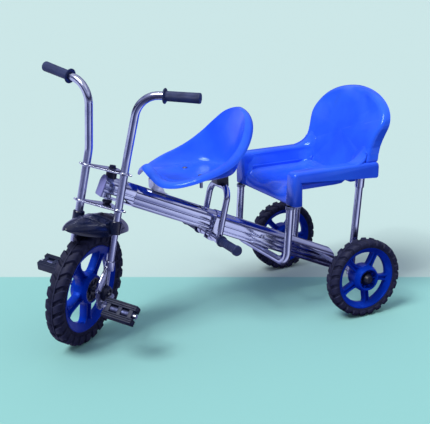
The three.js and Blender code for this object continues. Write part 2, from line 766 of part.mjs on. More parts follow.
// A lugged tyre: rings of points swept round the wheel, four stations to each lug.
function tyre(radius, lugs, rimRadius) {
  const half = TYRE_WIDTH / 2;
  const tread = half * TREAD_HALF_SHARE;
  const bead = TYRE_BEAD_WIDTH / 2;
  const pitch = (2 * Math.PI) / lugs;
  const lug = (LUG_SHARE * pitch) / 2;
  const foot = lug + LUG_SLOPE_SHARE * pitch;
  const corner = radius / Math.cos(lug);
  const bore = (rimRadius + CLEARANCE) / Math.cos(lug);
  const bulge = radius - BULGE_DROP;
  const section = (raised) => {
    const top = raised ? corner : radius - TREAD_DEPTH;
    const wide = raised ? half : half - GROOVE_INSET;
    return [
      [bore, -bead],
      [bulge, -wide],
      [top, -tread],
      [radius - RIB_DROP, -RIB_WIDTH / 2],
      [radius - RIB_DROP, RIB_WIDTH / 2],
      [top, tread],
      [bulge, wide],
      [bore, bead],
    ];
  };
  const rings = [];
  for (let i = 0; i < lugs; i += 1) {
    const middle = -Math.PI / 2 + i * pitch;
    for (const [offset, raised] of [[-foot, false], [-lug, true], [lug, true], [foot, false]]) {
      const points = section(raised).map(([r, y]) => {
        const sweep = (LUG_SWEEP_SHARE * pitch * Math.abs(y)) / half;
        const angle = middle + offset + sweep;
        return [r * Math.cos(angle), y, r * Math.sin(angle)];
      });
      rings.push(points);
    }
  }
  return solid(loop(rings));
}

// Rings of points joined each to the next, and the last to the first.
function loop(rings) {
  const count = rings[0].length;
  const vertices = rings.flat(2);
  const index = [];
  for (let i = 0; i < rings.length; i += 1) {
    const next = (i + 1) % rings.length;
    for (let k = 0; k < count; k += 1) {
      const l = (k + 1) % count;
      const [a, b, c, d] = [i * count + k, i * count + l, next * count + l, next * count + k];
      index.push(a, b, c, a, c, d);
    }
  }
  const geometry = new THREE.BufferGeometry();
  geometry.setAttribute("position", new THREE.Float32BufferAttribute(vertices, 3));
  geometry.setIndex(index);
  return geometry;
}

// The moulded ring that the tyre sits on, tapering to a narrow edge on its inside.
function rimRing(outer, inner, width) {
  const half = width / 2;
  const nose = half * RIM_NOSE_SHARE;
  return solid(
    turnedY(
      [
        [inner, -nose],
        [outer, -half],
        [outer, half],
        [inner, nose],
      ],
      RIM_SIDES,
    ),
  );
}

// One spoke with a raised flange along each edge, running out along +X.
function spoke(from, to, width, depth) {
  const half = width / 2;
  const deep = depth / 2;
  const web = SPOKE_WEB / 2;
  const outline = [
    [-half, -deep],
    [-half + SPOKE_FLANGE, -deep],
    [-half + SPOKE_FLANGE, -web],
    [half - SPOKE_FLANGE, -web],
    [half - SPOKE_FLANGE, -deep],
    [half, -deep],
    [half, deep],
    [half - SPOKE_FLANGE, deep],
    [half - SPOKE_FLANGE, web],
    [-half + SPOKE_FLANGE, web],
    [-half + SPOKE_FLANGE, deep],
    [-half, deep],
  ];
  // The outline lies in (z, y) and is swept along X.
  return solid(alongX(outline.map(([z, y]) => [y, z]), from, to));
}

function hub(radius, faceRadius, length, boreRadius, recessRadius, recessDepth, bothSides) {
  const half = length / 2;
  const inner = bothSides
    ? [
        [boreRadius, -half + recessDepth],
        [recessRadius, -half + recessDepth],
        [recessRadius, -half],
      ]
    : [[boreRadius, -half]];
  return solid(
    turnedY(
      [
        ...inner,
        [faceRadius, -half],
        [radius, -half / 2],
        [radius, half / 2],
        [faceRadius, half],
        [recessRadius, half],
        [recessRadius, half - recessDepth],
        [boreRadius, half - recessDepth],
      ],
      ROUND_SIDES,
    ),
  );
}

function spokedRim(ring, hubBody, hubRadius, rimInner, spokeWidth, spokeDepth, angle) {
  let whole = join(ring, hubBody);
  for (let i = 0; i < SPOKE_COUNT; i += 1) {
    const turn = ((360 * i) / SPOKE_COUNT + angle) * RAD;
    const arm = spoke(hubRadius - HUB_WALL, rimInner + HUB_WALL, spokeWidth, spokeDepth);
    whole = whole.add(solid(geometryOf(arm).rotateY(-turn)));
  }
  return whole;
}

function rearRim() {
  const bore = bored(AXLE_DIAMETER / 2);
  const recess = REAR_HUB_FACE_RADIUS - HUB_WALL;
  const radii = [REAR_HUB_RADIUS, REAR_HUB_FACE_RADIUS];
  const hubBody = hub(...radii, REAR_HUB_LENGTH, bore, recess, HUB_RECESS_DEPTH, false);
  const ring = rimRing(REAR_RIM_OUTER, REAR_RIM_INNER, REAR_RIM_WIDTH);
  return spokedRim(
    ring,
    hubBody,
    REAR_HUB_RADIUS,
    REAR_RIM_INNER,
    REAR_SPOKE_WIDTH,
    REAR_SPOKE_DEPTH,
    REAR_SPOKE_ANGLE,
  );
}

function frontRim() {
  const bore = bored(CRANK_DIAMETER / 2);
  const recess = bored(HUB_INSERT_RADIUS);
  const depth = HUB_INSERT_LENGTH + CLEARANCE;
  const hubBody = hub(FRONT_HUB_RADIUS, FRONT_HUB_FACE_RADIUS, FRONT_HUB_LENGTH, bore, recess, depth, true);
  const ring = rimRing(FRONT_RIM_OUTER, FRONT_RIM_INNER, FRONT_RIM_WIDTH);
  return spokedRim(
    ring,
    hubBody,
    FRONT_HUB_RADIUS,
    FRONT_RIM_INNER,
    FRONT_SPOKE_WIDTH,
    FRONT_SPOKE_DEPTH,
    FRONT_SPOKE_ANGLE,
  );
}

// The dished black disc that keys the crank into the front hub.
function hubInsert() {
  const outer = FRONT_HUB_LENGTH / 2;
  const inner = outer - HUB_INSERT_LENGTH;
  const bore = bored(CRANK_DIAMETER / 2);
  return solid(
    turnedY(
      [
        [bore, inner],
        [HUB_INSERT_RADIUS, inner],
        [HUB_INSERT_RADIUS, outer - HUB_WALL / 2],
        [HUB_INSERT_RADIUS - HUB_WALL, outer - HUB_WALL / 2],
        [HUB_INSERT_RADIUS - 2 * HUB_WALL, inner + HUB_WALL],
        [2 * bore, inner + HUB_WALL],
        [2 * bore, outer - HUB_WALL / 2],
        [bore, outer - HUB_WALL / 2],
      ],
      ROUND_SIDES,
    ),
  );
}

// The black cap on the end of the rear axle, inside the hub's recess.
function axleCap() {
  const face = REAR_TRACK / 2 + REAR_HUB_LENGTH / 2 - HUB_RECESS_DEPTH + CLEARANCE;
  const bore = bored(AXLE_DIAMETER / 2);
  const top = face + AXLE_CAP_LENGTH;
  const [wide, far] = AXLE_CAP_SHARES;
  return solid(
    turnedY(
      [
        [bore, face],
        [AXLE_CAP_RADIUS, face],
        [AXLE_CAP_RADIUS, face + AXLE_CAP_WALL],
        [AXLE_CAP_RADIUS * wide, face + AXLE_CAP_LENGTH * far],
        [AXLE_CAP_RADIUS * AXLE_CAP_TIP_SHARE, top - AXLE_CAP_EDGE],
        [0, top],
        [0, top - AXLE_CAP_WALL],
        [bore, top - AXLE_CAP_WALL],
      ],
      ROUND_SIDES,
    ).translate(0, 0, AXLE_HEIGHT),
  );
}

const axleEnd = () =>
  REAR_TRACK / 2 + REAR_HUB_LENGTH / 2 - HUB_RECESS_DEPTH + AXLE_CAP_LENGTH - AXLE_CAP_WALL;

function rearAxle() {
  const end = axleEnd();
  return solid(rodY(AXLE_DIAMETER / 2, -end, end).translate(0, 0, AXLE_HEIGHT));
}

// The tube that keeps the hub off the rear post.
function axleSpacer() {
  const inner = REAR_POST_Y + POST_DIAMETER / 2 + CLEARANCE;
  const outer = REAR_TRACK / 2 - REAR_HUB_LENGTH / 2 - CLEARANCE;
  const bore = bored(AXLE_DIAMETER / 2, SMALL_SIDES);
  const profile = [
    [bore, inner],
    [bore + HUB_WALL, inner],
    [bore + HUB_WALL, outer],
    [bore, outer],
  ];
  return solid(turnedY(profile, SMALL_SIDES).translate(0, 0, AXLE_HEIGHT));
}

// Seat frame

const FLANGE_BOTTOM = SEAT_LEG_BOTTOM - FLANGE_THICKNESS - CLEARANCE;
const FRONT_POST_TOP = FLANGE_BOTTOM - CLEARANCE - (POST_DIAMETER / 2) * Math.sin(FRONT_POST_LEAN * RAD);

// The bottom run of the U lies against the beam's underside.
function frameRunHeight() {
  const below = -BEAM_HEIGHT / 2 - POST_DIAMETER / 2 - CLEARANCE;
  return beamLevel(FRONT_POST_X, below);
}

function seatFrameTube() {
  const low = frameRunHeight();
  const topX = FRONT_POST_X - (FRONT_POST_TOP - low) * Math.tan(FRONT_POST_LEAN * RAD);
  const corners = [
    [topX, -FRONT_POST_Y, FRONT_POST_TOP],
    [FRONT_POST_X, -FRONT_POST_Y, low],
    [FRONT_POST_X, FRONT_POST_Y, low],
    [topX, FRONT_POST_Y, FRONT_POST_TOP],
  ];
  return tube(route(corners, [FRONT_POST_BEND, FRONT_POST_BEND]), POST_DIAMETER / 2, POST_WALL);
}

function seatFlange() {
  const low = frameRunHeight();
  const slope = Math.tan(FRONT_POST_LEAN * RAD);
  const x = FRONT_POST_X - (FRONT_POST_TOP - low) * slope;
  const plateBottom = FLANGE_BOTTOM;
  const collarBottom = FRONT_POST_TOP - FLANGE_COLLAR;
  const legMiddle = (LEG_REAR_X + ARM_FRONT_X) / 2;
  const plate = new THREE.BoxGeometry(FLANGE_LENGTH, FLANGE_WIDTH, FLANGE_THICKNESS);
  plate.translate(legMiddle, (PAN_HALF_WIDTH + ARM_OUTER_Y) / 2, plateBottom + FLANGE_THICKNESS / 2);
  const outer = POST_DIAMETER / 2 + CLEARANCE + FLANGE_WALL;
  const collar = rod(outer, collarBottom, plateBottom + FLANGE_THICKNESS / 2).translate(x, FRONT_POST_Y, 0);
  const lean = new THREE.Matrix4().makeShear(0, 0, 0, 0, -slope, 0);
  const reach = plateBottom - FRONT_POST_TOP;
  const bore = rod(bored(POST_DIAMETER / 2), -FLANGE_COLLAR - OVERRUN, reach).applyMatrix4(lean);
  bore.translate(x, FRONT_POST_Y, FRONT_POST_TOP);
  return cut(join(solid(plate), solid(collar)), solid(bore));
}

function rearPost() {
  const slope = Math.tan(REAR_POST_LEAN * RAD);
  const bottom = AXLE_HEIGHT - REAR_POST_DROP;
  const top = ARM_TOP - SEAT_WALL - POST_DIAMETER / 2 * slope - 2 * CLEARANCE;
  const xAt = (z) => REAR_POST_X - (z - AXLE_HEIGHT) * slope;
  const corners = [
    [xAt(bottom), REAR_POST_Y, bottom],
    [xAt(top), REAR_POST_Y, top],
  ];
  const body = tube(route(corners, []), POST_DIAMETER / 2, POST_WALL);
  const hole = rodY(bored(AXLE_DIAMETER / 2), REAR_POST_Y - POST_DIAMETER, REAR_POST_Y + POST_DIAMETER);
  return cut(body, solid(hole.translate(0, 0, AXLE_HEIGHT)));
}

// Foot pegs and the post of the front seat

const pegBarHeight = () => beamLevel(PEG_BAR_X, -BEAM_HEIGHT / 2 - PEG_BAR_DROP);

function pegBar() {
  const geometry = rodY(PEG_BAR_DIAMETER / 2, -PEG_OUTER_Y, PEG_OUTER_Y, TUBE_SIDES);
  return solid(geometry.translate(PEG_BAR_X, 0, pegBarHeight()));
}

// A rubber sleeve with a flange at its start and a closed, rounded end, along +Z from zero.
function rubberSleeve(bore, outer, flange, flangeLength, length, crown) {
  const profile = [
    [bore, 0],
    [flange, 0],
    [flange, flangeLength],
    [outer, flangeLength],
  ];
  profile.push([outer, length - crown], [outer - crown / 2, length], [0, length]);
  profile.push([0, length - crown / 2], [bore, length - crown / 2]);
  return turned(profile, SMALL_SIDES);
}

function pegGrip() {
  const length = PEG_OUTER_Y - PEG_INNER_Y + PEG_FLANGE_LENGTH;
  const crown = PEG_FLANGE_LENGTH;
  const sleeve = rubberSleeve(
    bored(PEG_BAR_DIAMETER / 2, SMALL_SIDES),
    PEG_DIAMETER / 2,
    PEG_FLANGE_DIAMETER / 2,
    PEG_FLANGE_LENGTH,
    length,
    crown,
  );
  return solid(sleeve.rotateX(-Math.PI / 2).translate(PEG_BAR_X, PEG_INNER_Y, pegBarHeight()));
}

function seatPostHoop() {
  const barZ = pegBarHeight();
  const corners = [
    [PEG_BAR_X, -HOOP_HALF_WIDTH, barZ],
    [HOOP_APEX_X, -HOOP_HALF_WIDTH, HOOP_APEX_Z],
    [HOOP_APEX_X, HOOP_HALF_WIDTH, HOOP_APEX_Z],
    [PEG_BAR_X, HOOP_HALF_WIDTH, barZ],
  ];
  const body = tube(route(corners, [HOOP_BEND, HOOP_BEND]), HOOP_DIAMETER / 2, HOOP_WALL);
  const seatCut = rodY(bored(PEG_BAR_DIAMETER / 2), -PEG_OUTER_Y, PEG_OUTER_Y);
  return cut(body, solid(seatCut.translate(PEG_BAR_X, 0, barZ)));
}

// A collar round the beam with a foot that carries the peg bar.
function saddleClamp() {
  const middle = beamPlaceOf(PEG_BAR_X, pegBarHeight());
  const from = middle - CLAMP_LENGTH / 2;
  const to = middle + CLAMP_LENGTH / 2;
  const outer = solid(alongX(beamSection(-CLEARANCE - CLAMP_WALL, false), from, to));
  const band = cut(outer, solid(alongX(beamSection(-CLEARANCE, false), from - OVERRUN, to + OVERRUN)));
  const top = -BEAM_HEIGHT / 2 - CLEARANCE - CLAMP_WALL / 2;
  const foot = new THREE.BoxGeometry(CLAMP_LENGTH, CLAMP_FOOT_WIDTH, CLAMP_FOOT_DROP + PEG_BAR_DIAMETER / 2);
  foot.translate(middle, 0, top - (CLAMP_FOOT_DROP + PEG_BAR_DIAMETER / 2) / 2);
  const body = onBeamSolid(join(band, solid(foot)));
  const hole = rodY(bored(PEG_BAR_DIAMETER / 2), -CLAMP_FOOT_WIDTH, CLAMP_FOOT_WIDTH);
  return cut(body, solid(hole.translate(PEG_BAR_X, 0, pegBarHeight())));
}

// Seat supports

const seatUnderside = () => FRONT_SEAT_Z - FRONT_SEAT_WALL - CLEARANCE;

function seatMountBlock() {
  const rear = HOOP_APEX_X - BLOCK_LENGTH / 2;
  const front = HOOP_APEX_X + BLOCK_LENGTH / 2;
  const outline = [
    [rear, HOOP_APEX_Z],
    [front, HOOP_APEX_Z + HOOP_DIAMETER * BLOCK_LOW_SHARE],
    [front, seatUnderside()],
    [rear, seatUnderside()],
  ];
  const body = solid(acrossY(outline, -BLOCK_WIDTH / 2, BLOCK_WIDTH / 2));
  const groove = rodY(bored(HOOP_DIAMETER / 2), -BLOCK_WIDTH, BLOCK_WIDTH);
  return cut(body, solid(groove.translate(HOOP_APEX_X, 0, HOOP_APEX_Z)));
}

// A folded strip: a foot on the beam, a riser, and a table that runs back under the seat to the block.
function frontSeatBracket() {
  const half = BRACKET_LENGTH / 2;
  const middle = beamPoint(BEAM_FRONT, BEAM_HEIGHT / 2)[0] - BRACKET_INSET;
  const rear = middle - half;
  const front = middle + half;
  const table = seatUnderside();
  const tail = HOOP_APEX_X + BLOCK_LENGTH / 2 + CLEARANCE;
  const crown = BEAM_HEIGHT / 2 + CLEARANCE;
  const footRear = beamLevel(rear, crown);
  const footFront = beamLevel(front, crown);
  const outline = [
    [rear, footRear],
    [front, footFront],
    [front, table],
    [tail, table],
    [tail, table - BRACKET_WALL],
    [front - BRACKET_WALL, table - BRACKET_WALL],
    [front - BRACKET_WALL, footFront + BRACKET_WALL],
    [rear, footRear + BRACKET_WALL],
  ];
  const strip = solid(acrossY(outline, -BRACKET_WIDTH / 2, BRACKET_WIDTH / 2));
  return cut(strip, beamEnvelope(CLEARANCE));
}

function seatScrew() {
  const floor = FRONT_SEAT_Z;
  const head = floor + CLEARANCE;
  const nutTop = floor - FRONT_SEAT_WALL - CLEARANCE;
  const shankTop = head + SCREW_HEAD_HEIGHT / 2;
  const shank = rod(SCREW_RADIUS, head + SCREW_HEAD_HEIGHT - SCREW_LENGTH, shankTop, ROD_SIDES);
  const cap = turned(
    [
      [0, head],
      [SCREW_HEAD_RADIUS, head],
      [SCREW_HEAD_RADIUS * SCREW_DOME_SHARE, head + SCREW_HEAD_HEIGHT],
      [0, head + SCREW_HEAD_HEIGHT],
    ],
    ROD_SIDES,
  );
  const nut = rod(SCREW_HEAD_RADIUS, nutTop - NUT_HEIGHT, nutTop, 6);
  const whole = join(solid(shank), solid(cap), solid(nut));
  return solid(geometryOf(whole).translate(SCREW_X, SCREW_Y, 0));
}

// Front seat: a bowl of rings about its middle, with a rolled lip

function riseShare(angle) {
  const turn = Math.abs(angle) / Math.PI;
  const place = turn * (RIM_RISE_SHARES.length - 1);
  const low = Math.min(Math.floor(place), RIM_RISE_SHARES.length - 2);
  const part = place - low;
  return RIM_RISE_SHARES[low] * (1 - part) + RIM_RISE_SHARES[low + 1] * part;
}

function rimReach(angle) {
  const along = Math.cos(angle) > 0 ? FRONT_SEAT_NOSE : FRONT_SEAT_BACK;
  const power = FRONT_SEAT_EXPONENT_SHARE;
  const x = Math.abs(Math.cos(angle) / along) ** power;
  const y = Math.abs(Math.sin(angle) / FRONT_SEAT_HALF_WIDTH) ** power;
  return (x + y) ** (-1 / power);
}

// One spoke of the bowl's visible surface, from the floor out over the lip, as points in space.
function seatSpoke(angle) {
  const reach = rimReach(angle);
  const rise = FRONT_SEAT_RISE * riseShare(angle);
  const along = [Math.cos(angle), Math.sin(angle)];
  const bowl = BOWL_SHARES.map(([r, z]) => [r * reach, FRONT_SEAT_Z + z * rise]);
  const lip = LIP_SHARES.map(([out, drop]) => [
    reach + out * FRONT_LIP_OUT,
    FRONT_SEAT_Z + rise - drop * FRONT_LIP_DROP,
  ]);
  return [...bowl, ...lip].map(([r, z]) => new THREE.Vector3(r * along[0], r * along[1], z));
}

function frontSeat() {
  const rows = [];
  for (let i = 0; i < SEAT_SECTORS; i += 1) {
    let angle = (2 * Math.PI * i) / SEAT_SECTORS;
    if (angle > Math.PI) angle -= 2 * Math.PI;
    rows.push(seatSpoke(angle));
  }
  const bowl = shell(rows, new THREE.Vector3(0, 0, FRONT_SEAT_Z), FRONT_SEAT_WALL);
  const placed = solid(geometryOf(bowl).translate(FRONT_SEAT_X, 0, 0));
  const bore = bored(SCREW_RADIUS, SMALL_SIDES);
  const hole = rod(bore, FRONT_SEAT_Z - SCREW_LENGTH, FRONT_SEAT_Z + OVERRUN, SMALL_SIDES);
  const left = solid(hole.translate(SCREW_X, SCREW_Y, 0));
  return cut(placed, left, mirrored(left));
}

// A wall of even thickness behind a surface given as spokes about a centre point.
function shell(rows, centre, wall) {
  const count = rows[0].length;
  const at = (i, k) => rows[(i + rows.length) % rows.length][k];
  const back = rows.map((row, i) =>
    row.map((point, k) => {
      const across = at(i + 1, k).clone().sub(at(i - 1, k));
      const inner = k > 0 ? at(i, k - 1) : centre;
      const outer = k < count - 1 ? at(i, k + 1) : point;
      const out = outer.clone().sub(inner);
      return point.clone().addScaledVector(across.cross(out).normalize(), wall);
    }),
  );
  const vertices = [...rows.flat(), ...back.flat(), centre, centre.clone().setZ(centre.z - wall)];
  const size = rows.length * count;
  const index = [];
  for (let i = 0; i < rows.length; i += 1) {
    const next = (i + 1) % rows.length;
    for (let k = 0; k < count - 1; k += 1) {
      const [a, b, c, d] = [i * count + k, i * count + k + 1, next * count + k + 1, next * count + k];
      index.push(a, b, c, a, c, d);
      index.push(size + a, size + c, size + b, size + a, size + d, size + c);
    }
    const [last, lastNext] = [i * count + count - 1, next * count + count - 1];
    index.push(last, size + last, size + lastNext, last, size + lastNext, lastNext);
    index.push(2 * size, i * count, next * count);
    index.push(2 * size + 1, size + next * count, size + i * count);
  }
  const geometry = new THREE.BufferGeometry();
  const flat = vertices.flatMap((v) => [v.x, v.y, v.z]);
  geometry.setAttribute("position", new THREE.Float32BufferAttribute(flat, 3));
  geometry.setIndex(index);
  return solid(geometry);
}

// Rear seat

// Side outline of an arm and its front leg, drawn in by inset all round.
function armSide(inset) {
  const top = ARM_TOP - inset;
  const front = ARM_FRONT_X - inset;
  const rear = ARM_REAR_X + inset;
  const edge = ARM_EDGE;
  return [
    [rear, ARM_SKIRT_REAR_Z],
    [rear, top - edge],
    [rear + edge / 3, top - edge / 3],
    [rear + edge, top],
    [front - edge, top],
    [front - edge / 3, top - edge / 3],
    [front, top - edge],
    [front, SEAT_LEG_BOTTOM],
    [LEG_REAR_X, SEAT_LEG_BOTTOM],
    [LEG_REAR_X, ARM_SKIRT_FRONT_Z],
  ];
}

// Front view of the left arm, drawn in by inset all round.
function armFront(inset) {
  const top = ARM_TOP - inset;
  const outer = ARM_OUTER_Y - inset;
  const shoulder = (ARM_EDGE - inset) / 2;
  const low = SEAT_LEG_BOTTOM - OVERRUN;
  return [
    [PAN_HALF_WIDTH + inset, low],
    [PAN_HALF_WIDTH + inset, PAN_TOP],
    [ARM_INNER_TOP_Y + inset - shoulder / 3, top - shoulder],
    [ARM_INNER_TOP_Y + inset + shoulder, top],
    [outer - shoulder, top],
    [outer, top - shoulder],
    [outer, low],
  ];
}

function seatArm() {
  const across = [PAN_HALF_WIDTH - OVERRUN, ARM_OUTER_Y + OVERRUN];
  const along = [ARM_REAR_X - OVERRUN, ARM_FRONT_X + OVERRUN];
  const outer = solid(alongX(armFront(0), ...along)).intersect(solid(acrossY(armSide(0), ...across)));
  const low = SEAT_LEG_BOTTOM - OVERRUN;
  const hollowSide = [
    ...armSide(SEAT_WALL).slice(1, 7),
    [ARM_FRONT_X - SEAT_WALL, low],
    [LEG_REAR_X + SEAT_WALL, low],
    [LEG_REAR_X + SEAT_WALL, ARM_SKIRT_FRONT_Z + SEAT_WALL],
    [LEG_REAR_X - SEAT_WALL, ARM_SKIRT_FRONT_Z + SEAT_WALL],
    [LEG_REAR_X - SEAT_WALL, ARM_SKIRT_REAR_Z - OVERRUN],
    [ARM_REAR_X + SEAT_WALL, ARM_SKIRT_REAR_Z - OVERRUN],
  ];
  const hollowFront = solid(alongX(armFront(SEAT_WALL), ...along));
  return outer.subtract(hollowFront.intersect(solid(acrossY(hollowSide, ...across))));
}

// The back's front face, in the side view, at height z.
const backFront = (z) => BACK_FOOT_X - (z - PAN_TOP) * Math.tan(BACK_LEAN * RAD);

// The tub's sheet in (y, z): the flat of the pan, curving up at each side inside the arms.
function tubSection() {
  const flat = PAN_HALF_WIDTH - COVE_WIDTH;
  const side = (out) => {
    const points = [];
    for (let i = 0; i <= COVE_STEPS; i += 1) {
      const turn = (Math.PI / 2) * (i / COVE_STEPS);
      const y = flat + COVE_WIDTH * Math.sin(turn) + out * Math.sin(turn);
      points.push([y, PAN_TOP + COVE_RISE * (1 - Math.cos(turn)) - out * Math.cos(turn)]);
    }
    return points;
  };
  const rim = ARM_TOP - SEAT_WALL - SEAT_WALL / 2;
  const upper = [...side(0), [ARM_INNER_TOP_Y, rim], [ARM_INNER_TOP_Y + SEAT_WALL, rim]];
  const right = [...upper, ...side(SEAT_WALL).reverse()];
  const left = right.map(([y, z]) => [-y, z]).reverse();
  return [...right, ...left];
}

function seatTub() {
  const rearMost = backFront(ARM_TOP) - SEAT_WALL;
  const front = LEG_REAR_X + SEAT_WALL;
  const tub = solid(alongX(tubSection(), rearMost - OVERRUN, front));
  const side = [
    [backFront(PAN_TOP - OVERRUN) - SEAT_WALL, PAN_TOP - SEAT_WALL - OVERRUN],
    [front + OVERRUN, PAN_TOP - SEAT_WALL - OVERRUN],
    [front + OVERRUN, ARM_TOP],
    [backFront(ARM_TOP) - SEAT_WALL, ARM_TOP],
  ];
  return tub.intersect(solid(acrossY(side, -ARM_OUTER_Y, ARM_OUTER_Y)));
}

// The front of the pan, rolled down between the seat's front legs.
function seatRoll() {
  const reach = SKIRT_FRONT_X - PAN_FRONT_X;
  const fall = PAN_TOP - SKIRT_BOTTOM;
  const outer = SKIRT_ROLL_SHARES.map(([x, z]) => [PAN_FRONT_X + x * reach, PAN_TOP - z * fall]);
  const inner = SKIRT_ROLL_SHARES.map(([x, z]) => [
    PAN_FRONT_X + x * (reach - SEAT_WALL),
    PAN_TOP - SEAT_WALL - z * (fall - SEAT_WALL),
  ]).reverse();
  const rear = PAN_FRONT_X - COVE_WIDTH;
  const outline = [[rear, PAN_TOP], ...outer, ...inner, [rear, PAN_TOP - SEAT_WALL]];
  const half = PAN_HALF_WIDTH + SEAT_WALL / 2;
  return solid(acrossY(outline, -half, half));
}

// A filled concave corner in the side view from a level face up to the back's front face.
function backCorner(level, reach, height) {
  const base = level - SEAT_WALL / 2;
  const top = level + height;
  const curve = GUSSET_SHARES.map(([x, z]) => {
    const rise = level + z * height;
    return [backFront(rise) + x * reach, rise];
  });
  return [
    [backFront(base) + reach, base],
    ...curve,
    [backFront(top) - SEAT_WALL, top],
    [backFront(base) - SEAT_WALL, base],
  ];
}

function seatHeel() {
  const half = PAN_HALF_WIDTH - SEAT_WALL;
  return solid(acrossY(backCorner(PAN_TOP, HEEL_LENGTH, HEEL_RISE), -half, half));
}

// The corner where an arm's top sweeps up into the back.
function armGusset() {
  const inner = ARM_INNER_TOP_Y + CLEARANCE;
  const outer = BACK_NECK_HALF_WIDTH - CLEARANCE;
  return solid(acrossY(backCorner(ARM_TOP, GUSSET_LENGTH, GUSSET_HEIGHT), inner, outer));
}

// Outline of the backrest in (y, z), drawn in by inset: a waist above the arms and a wide oval head.
function backOutline(inset) {
  const oval = BACK_HALF_WIDTH - inset;
  const height = BACK_TOP - BACK_CENTRE_Z - inset;
  const head = [];
  for (let i = 0; i <= BACK_ARC_STEPS; i += 1) {
    const angle = (Math.PI * i) / BACK_ARC_STEPS;
    head.push([oval * Math.cos(angle), BACK_CENTRE_Z + height * Math.sin(angle)]);
  }
  const neck = BACK_NECK_HALF_WIDTH - inset;
  const foot = BACK_FOOT_HALF_WIDTH - inset;
  const shoulder = (BACK_CENTRE_Z + BACK_NECK_Z) / 2;
  const low = ARM_TOP - SEAT_WALL / 2;
  const inner = PAN_HALF_WIDTH + SEAT_WALL / 2 - (inset > 0 ? SEAT_WALL : 0);
  const right = [
    [inner, PAN_TOP - SEAT_WALL],
    [inner, low],
    [foot, low],
    [neck + (foot - neck) / 4, (low + BACK_NECK_Z) / 2],
    [neck, BACK_NECK_Z],
    [(neck + oval) / 2 + inset / 2, shoulder],
  ];
  const left = right.map(([y, z]) => [-y, z]).reverse();
  return [...right, ...head, ...left];
}

// Moves an upright panel at x = 0 into the back's leaning plane.
function leanBack(geometry) {
  const slope = Math.tan(BACK_LEAN * RAD);
  const lean = new THREE.Matrix4().makeShear(0, 0, 0, 0, -slope, 0);
  return geometry.applyMatrix4(lean).translate(BACK_FOOT_X + PAN_TOP * slope, 0, 0);
}

function seatBack() {
  const deep = BACK_DEPTH_FOOT;
  const rounded = solid(roundedAlongX(backOutline(0), -deep - 2 * BACK_EDGE, 0, BACK_EDGE));
  const hollow = solid(alongX(backOutline(SEAT_WALL), -deep - OVERRUN, -BACK_EDGE / 2 - SEAT_WALL / 2));
  const tray = rounded.subtract(hollow);
  const side = [
    [OVERRUN, PAN_TOP - SEAT_WALL - OVERRUN],
    [OVERRUN, BACK_TOP + OVERRUN],
    [-BACK_DEPTH_TOP, BACK_TOP + OVERRUN],
    [-BACK_DEPTH_FOOT, PAN_TOP - SEAT_WALL - OVERRUN],
  ];
  const trimmed = tray.intersect(solid(acrossY(side, -BACK_HALF_WIDTH - OVERRUN, BACK_HALF_WIDTH + OVERRUN)));
  return solid(leanBack(geometryOf(trimmed)));
}

function rearSeat() {
  const arm = join(seatArm(), armGusset());
  return join(seatTub(), seatRoll(), seatHeel(), arm, mirrored(arm), seatBack());
}

// Fork, in its own frame: +X ahead of the head axis, +Z up along it, level with the axle at zero

function handlebar() {
  const corners = [
    [FORK_OFFSET, LEG_SPREAD, LEG_BOTTOM],
    [FORK_OFFSET, LEG_SPREAD, LEG_BEND_HEIGHT],
    [BAR_CORNER_X, BAR_CORNER_Y, BAR_CORNER_HEIGHT],
    [BAR_END_X, BAR_END_Y, BAR_END_HEIGHT],
  ];
  return tube(route(corners, [LEG_BEND, BAR_BEND]), LEG_DIAMETER / 2, LEG_WALL);
}

function gripAxis() {
  const end = new THREE.Vector3(BAR_END_X, BAR_END_Y, BAR_END_HEIGHT);
  const corner = new THREE.Vector3(BAR_CORNER_X, BAR_CORNER_Y, BAR_CORNER_HEIGHT);
  return { end, direction: end.clone().sub(corner).normalize() };
}

function grip() {
  const { end, direction } = gripAxis();
  const sleeve = rubberSleeve(
    bored(LEG_DIAMETER / 2, SMALL_SIDES),
    GRIP_DIAMETER / 2,
    GRIP_FLANGE_DIAMETER / 2,
    GRIP_FLANGE_LENGTH,
    GRIP_LENGTH,
    GRIP_CROWN,
  );
  const turn = new THREE.Quaternion().setFromUnitVectors(new THREE.Vector3(0, 0, 1), direction);
  const inside = GRIP_LENGTH - GRIP_CROWN / 2 - CLEARANCE;
  const start = end.clone().addScaledVector(direction, -inside);
  return solid(sleeve.applyQuaternion(turn).translate(start.x, start.y, start.z));
}

// A plate with an eye for each leg and one for the pivot, and a pinch bolt at each end.
function forkPlate(height) {
  const from = height - PLATE_THICKNESS / 2;
  const to = height + PLATE_THICKNESS / 2;
  const eyeAt = (x, y, radius, start, end) => arc(x, y, radius, start, end, 6);
  const outline = [
    ...eyeAt(FORK_OFFSET, -LEG_SPREAD, PLATE_EYE, -180, PLATE_EYE_TURN),
    ...eyeAt(FORK_OFFSET, LEG_SPREAD, PLATE_EYE, -PLATE_EYE_TURN, 180),
    ...eyeAt(0, 0, PLATE_CENTRE_EYE, 180 - PLATE_CENTRE_TURN, 180 + PLATE_CENTRE_TURN),
  ];
  const hole = (x, y, radius) => regular(radius, ROUND_SIDES).map(([u, v]) => [x + u, y + v]);
  const leg = bored(LEG_DIAMETER / 2);
  const holes = [
    hole(FORK_OFFSET, -LEG_SPREAD, leg),
    hole(FORK_OFFSET, LEG_SPREAD, leg),
    hole(0, 0, bored(PIVOT_RADIUS)),
  ];
  const plate = solid(slab(outline, from, to, holes));
  const tip = LEG_SPREAD + PLATE_EYE;
  const out = PLATE_BOLT_LENGTH * PLATE_BOLT_SHARE;
  const bolt = rodY(PLATE_BOLT_RADIUS, tip + out - PLATE_BOLT_LENGTH, tip + out, 6);
  const left = solid(bolt.translate(FORK_OFFSET, 0, height));
  return join(plate, left, mirrored(left));
}

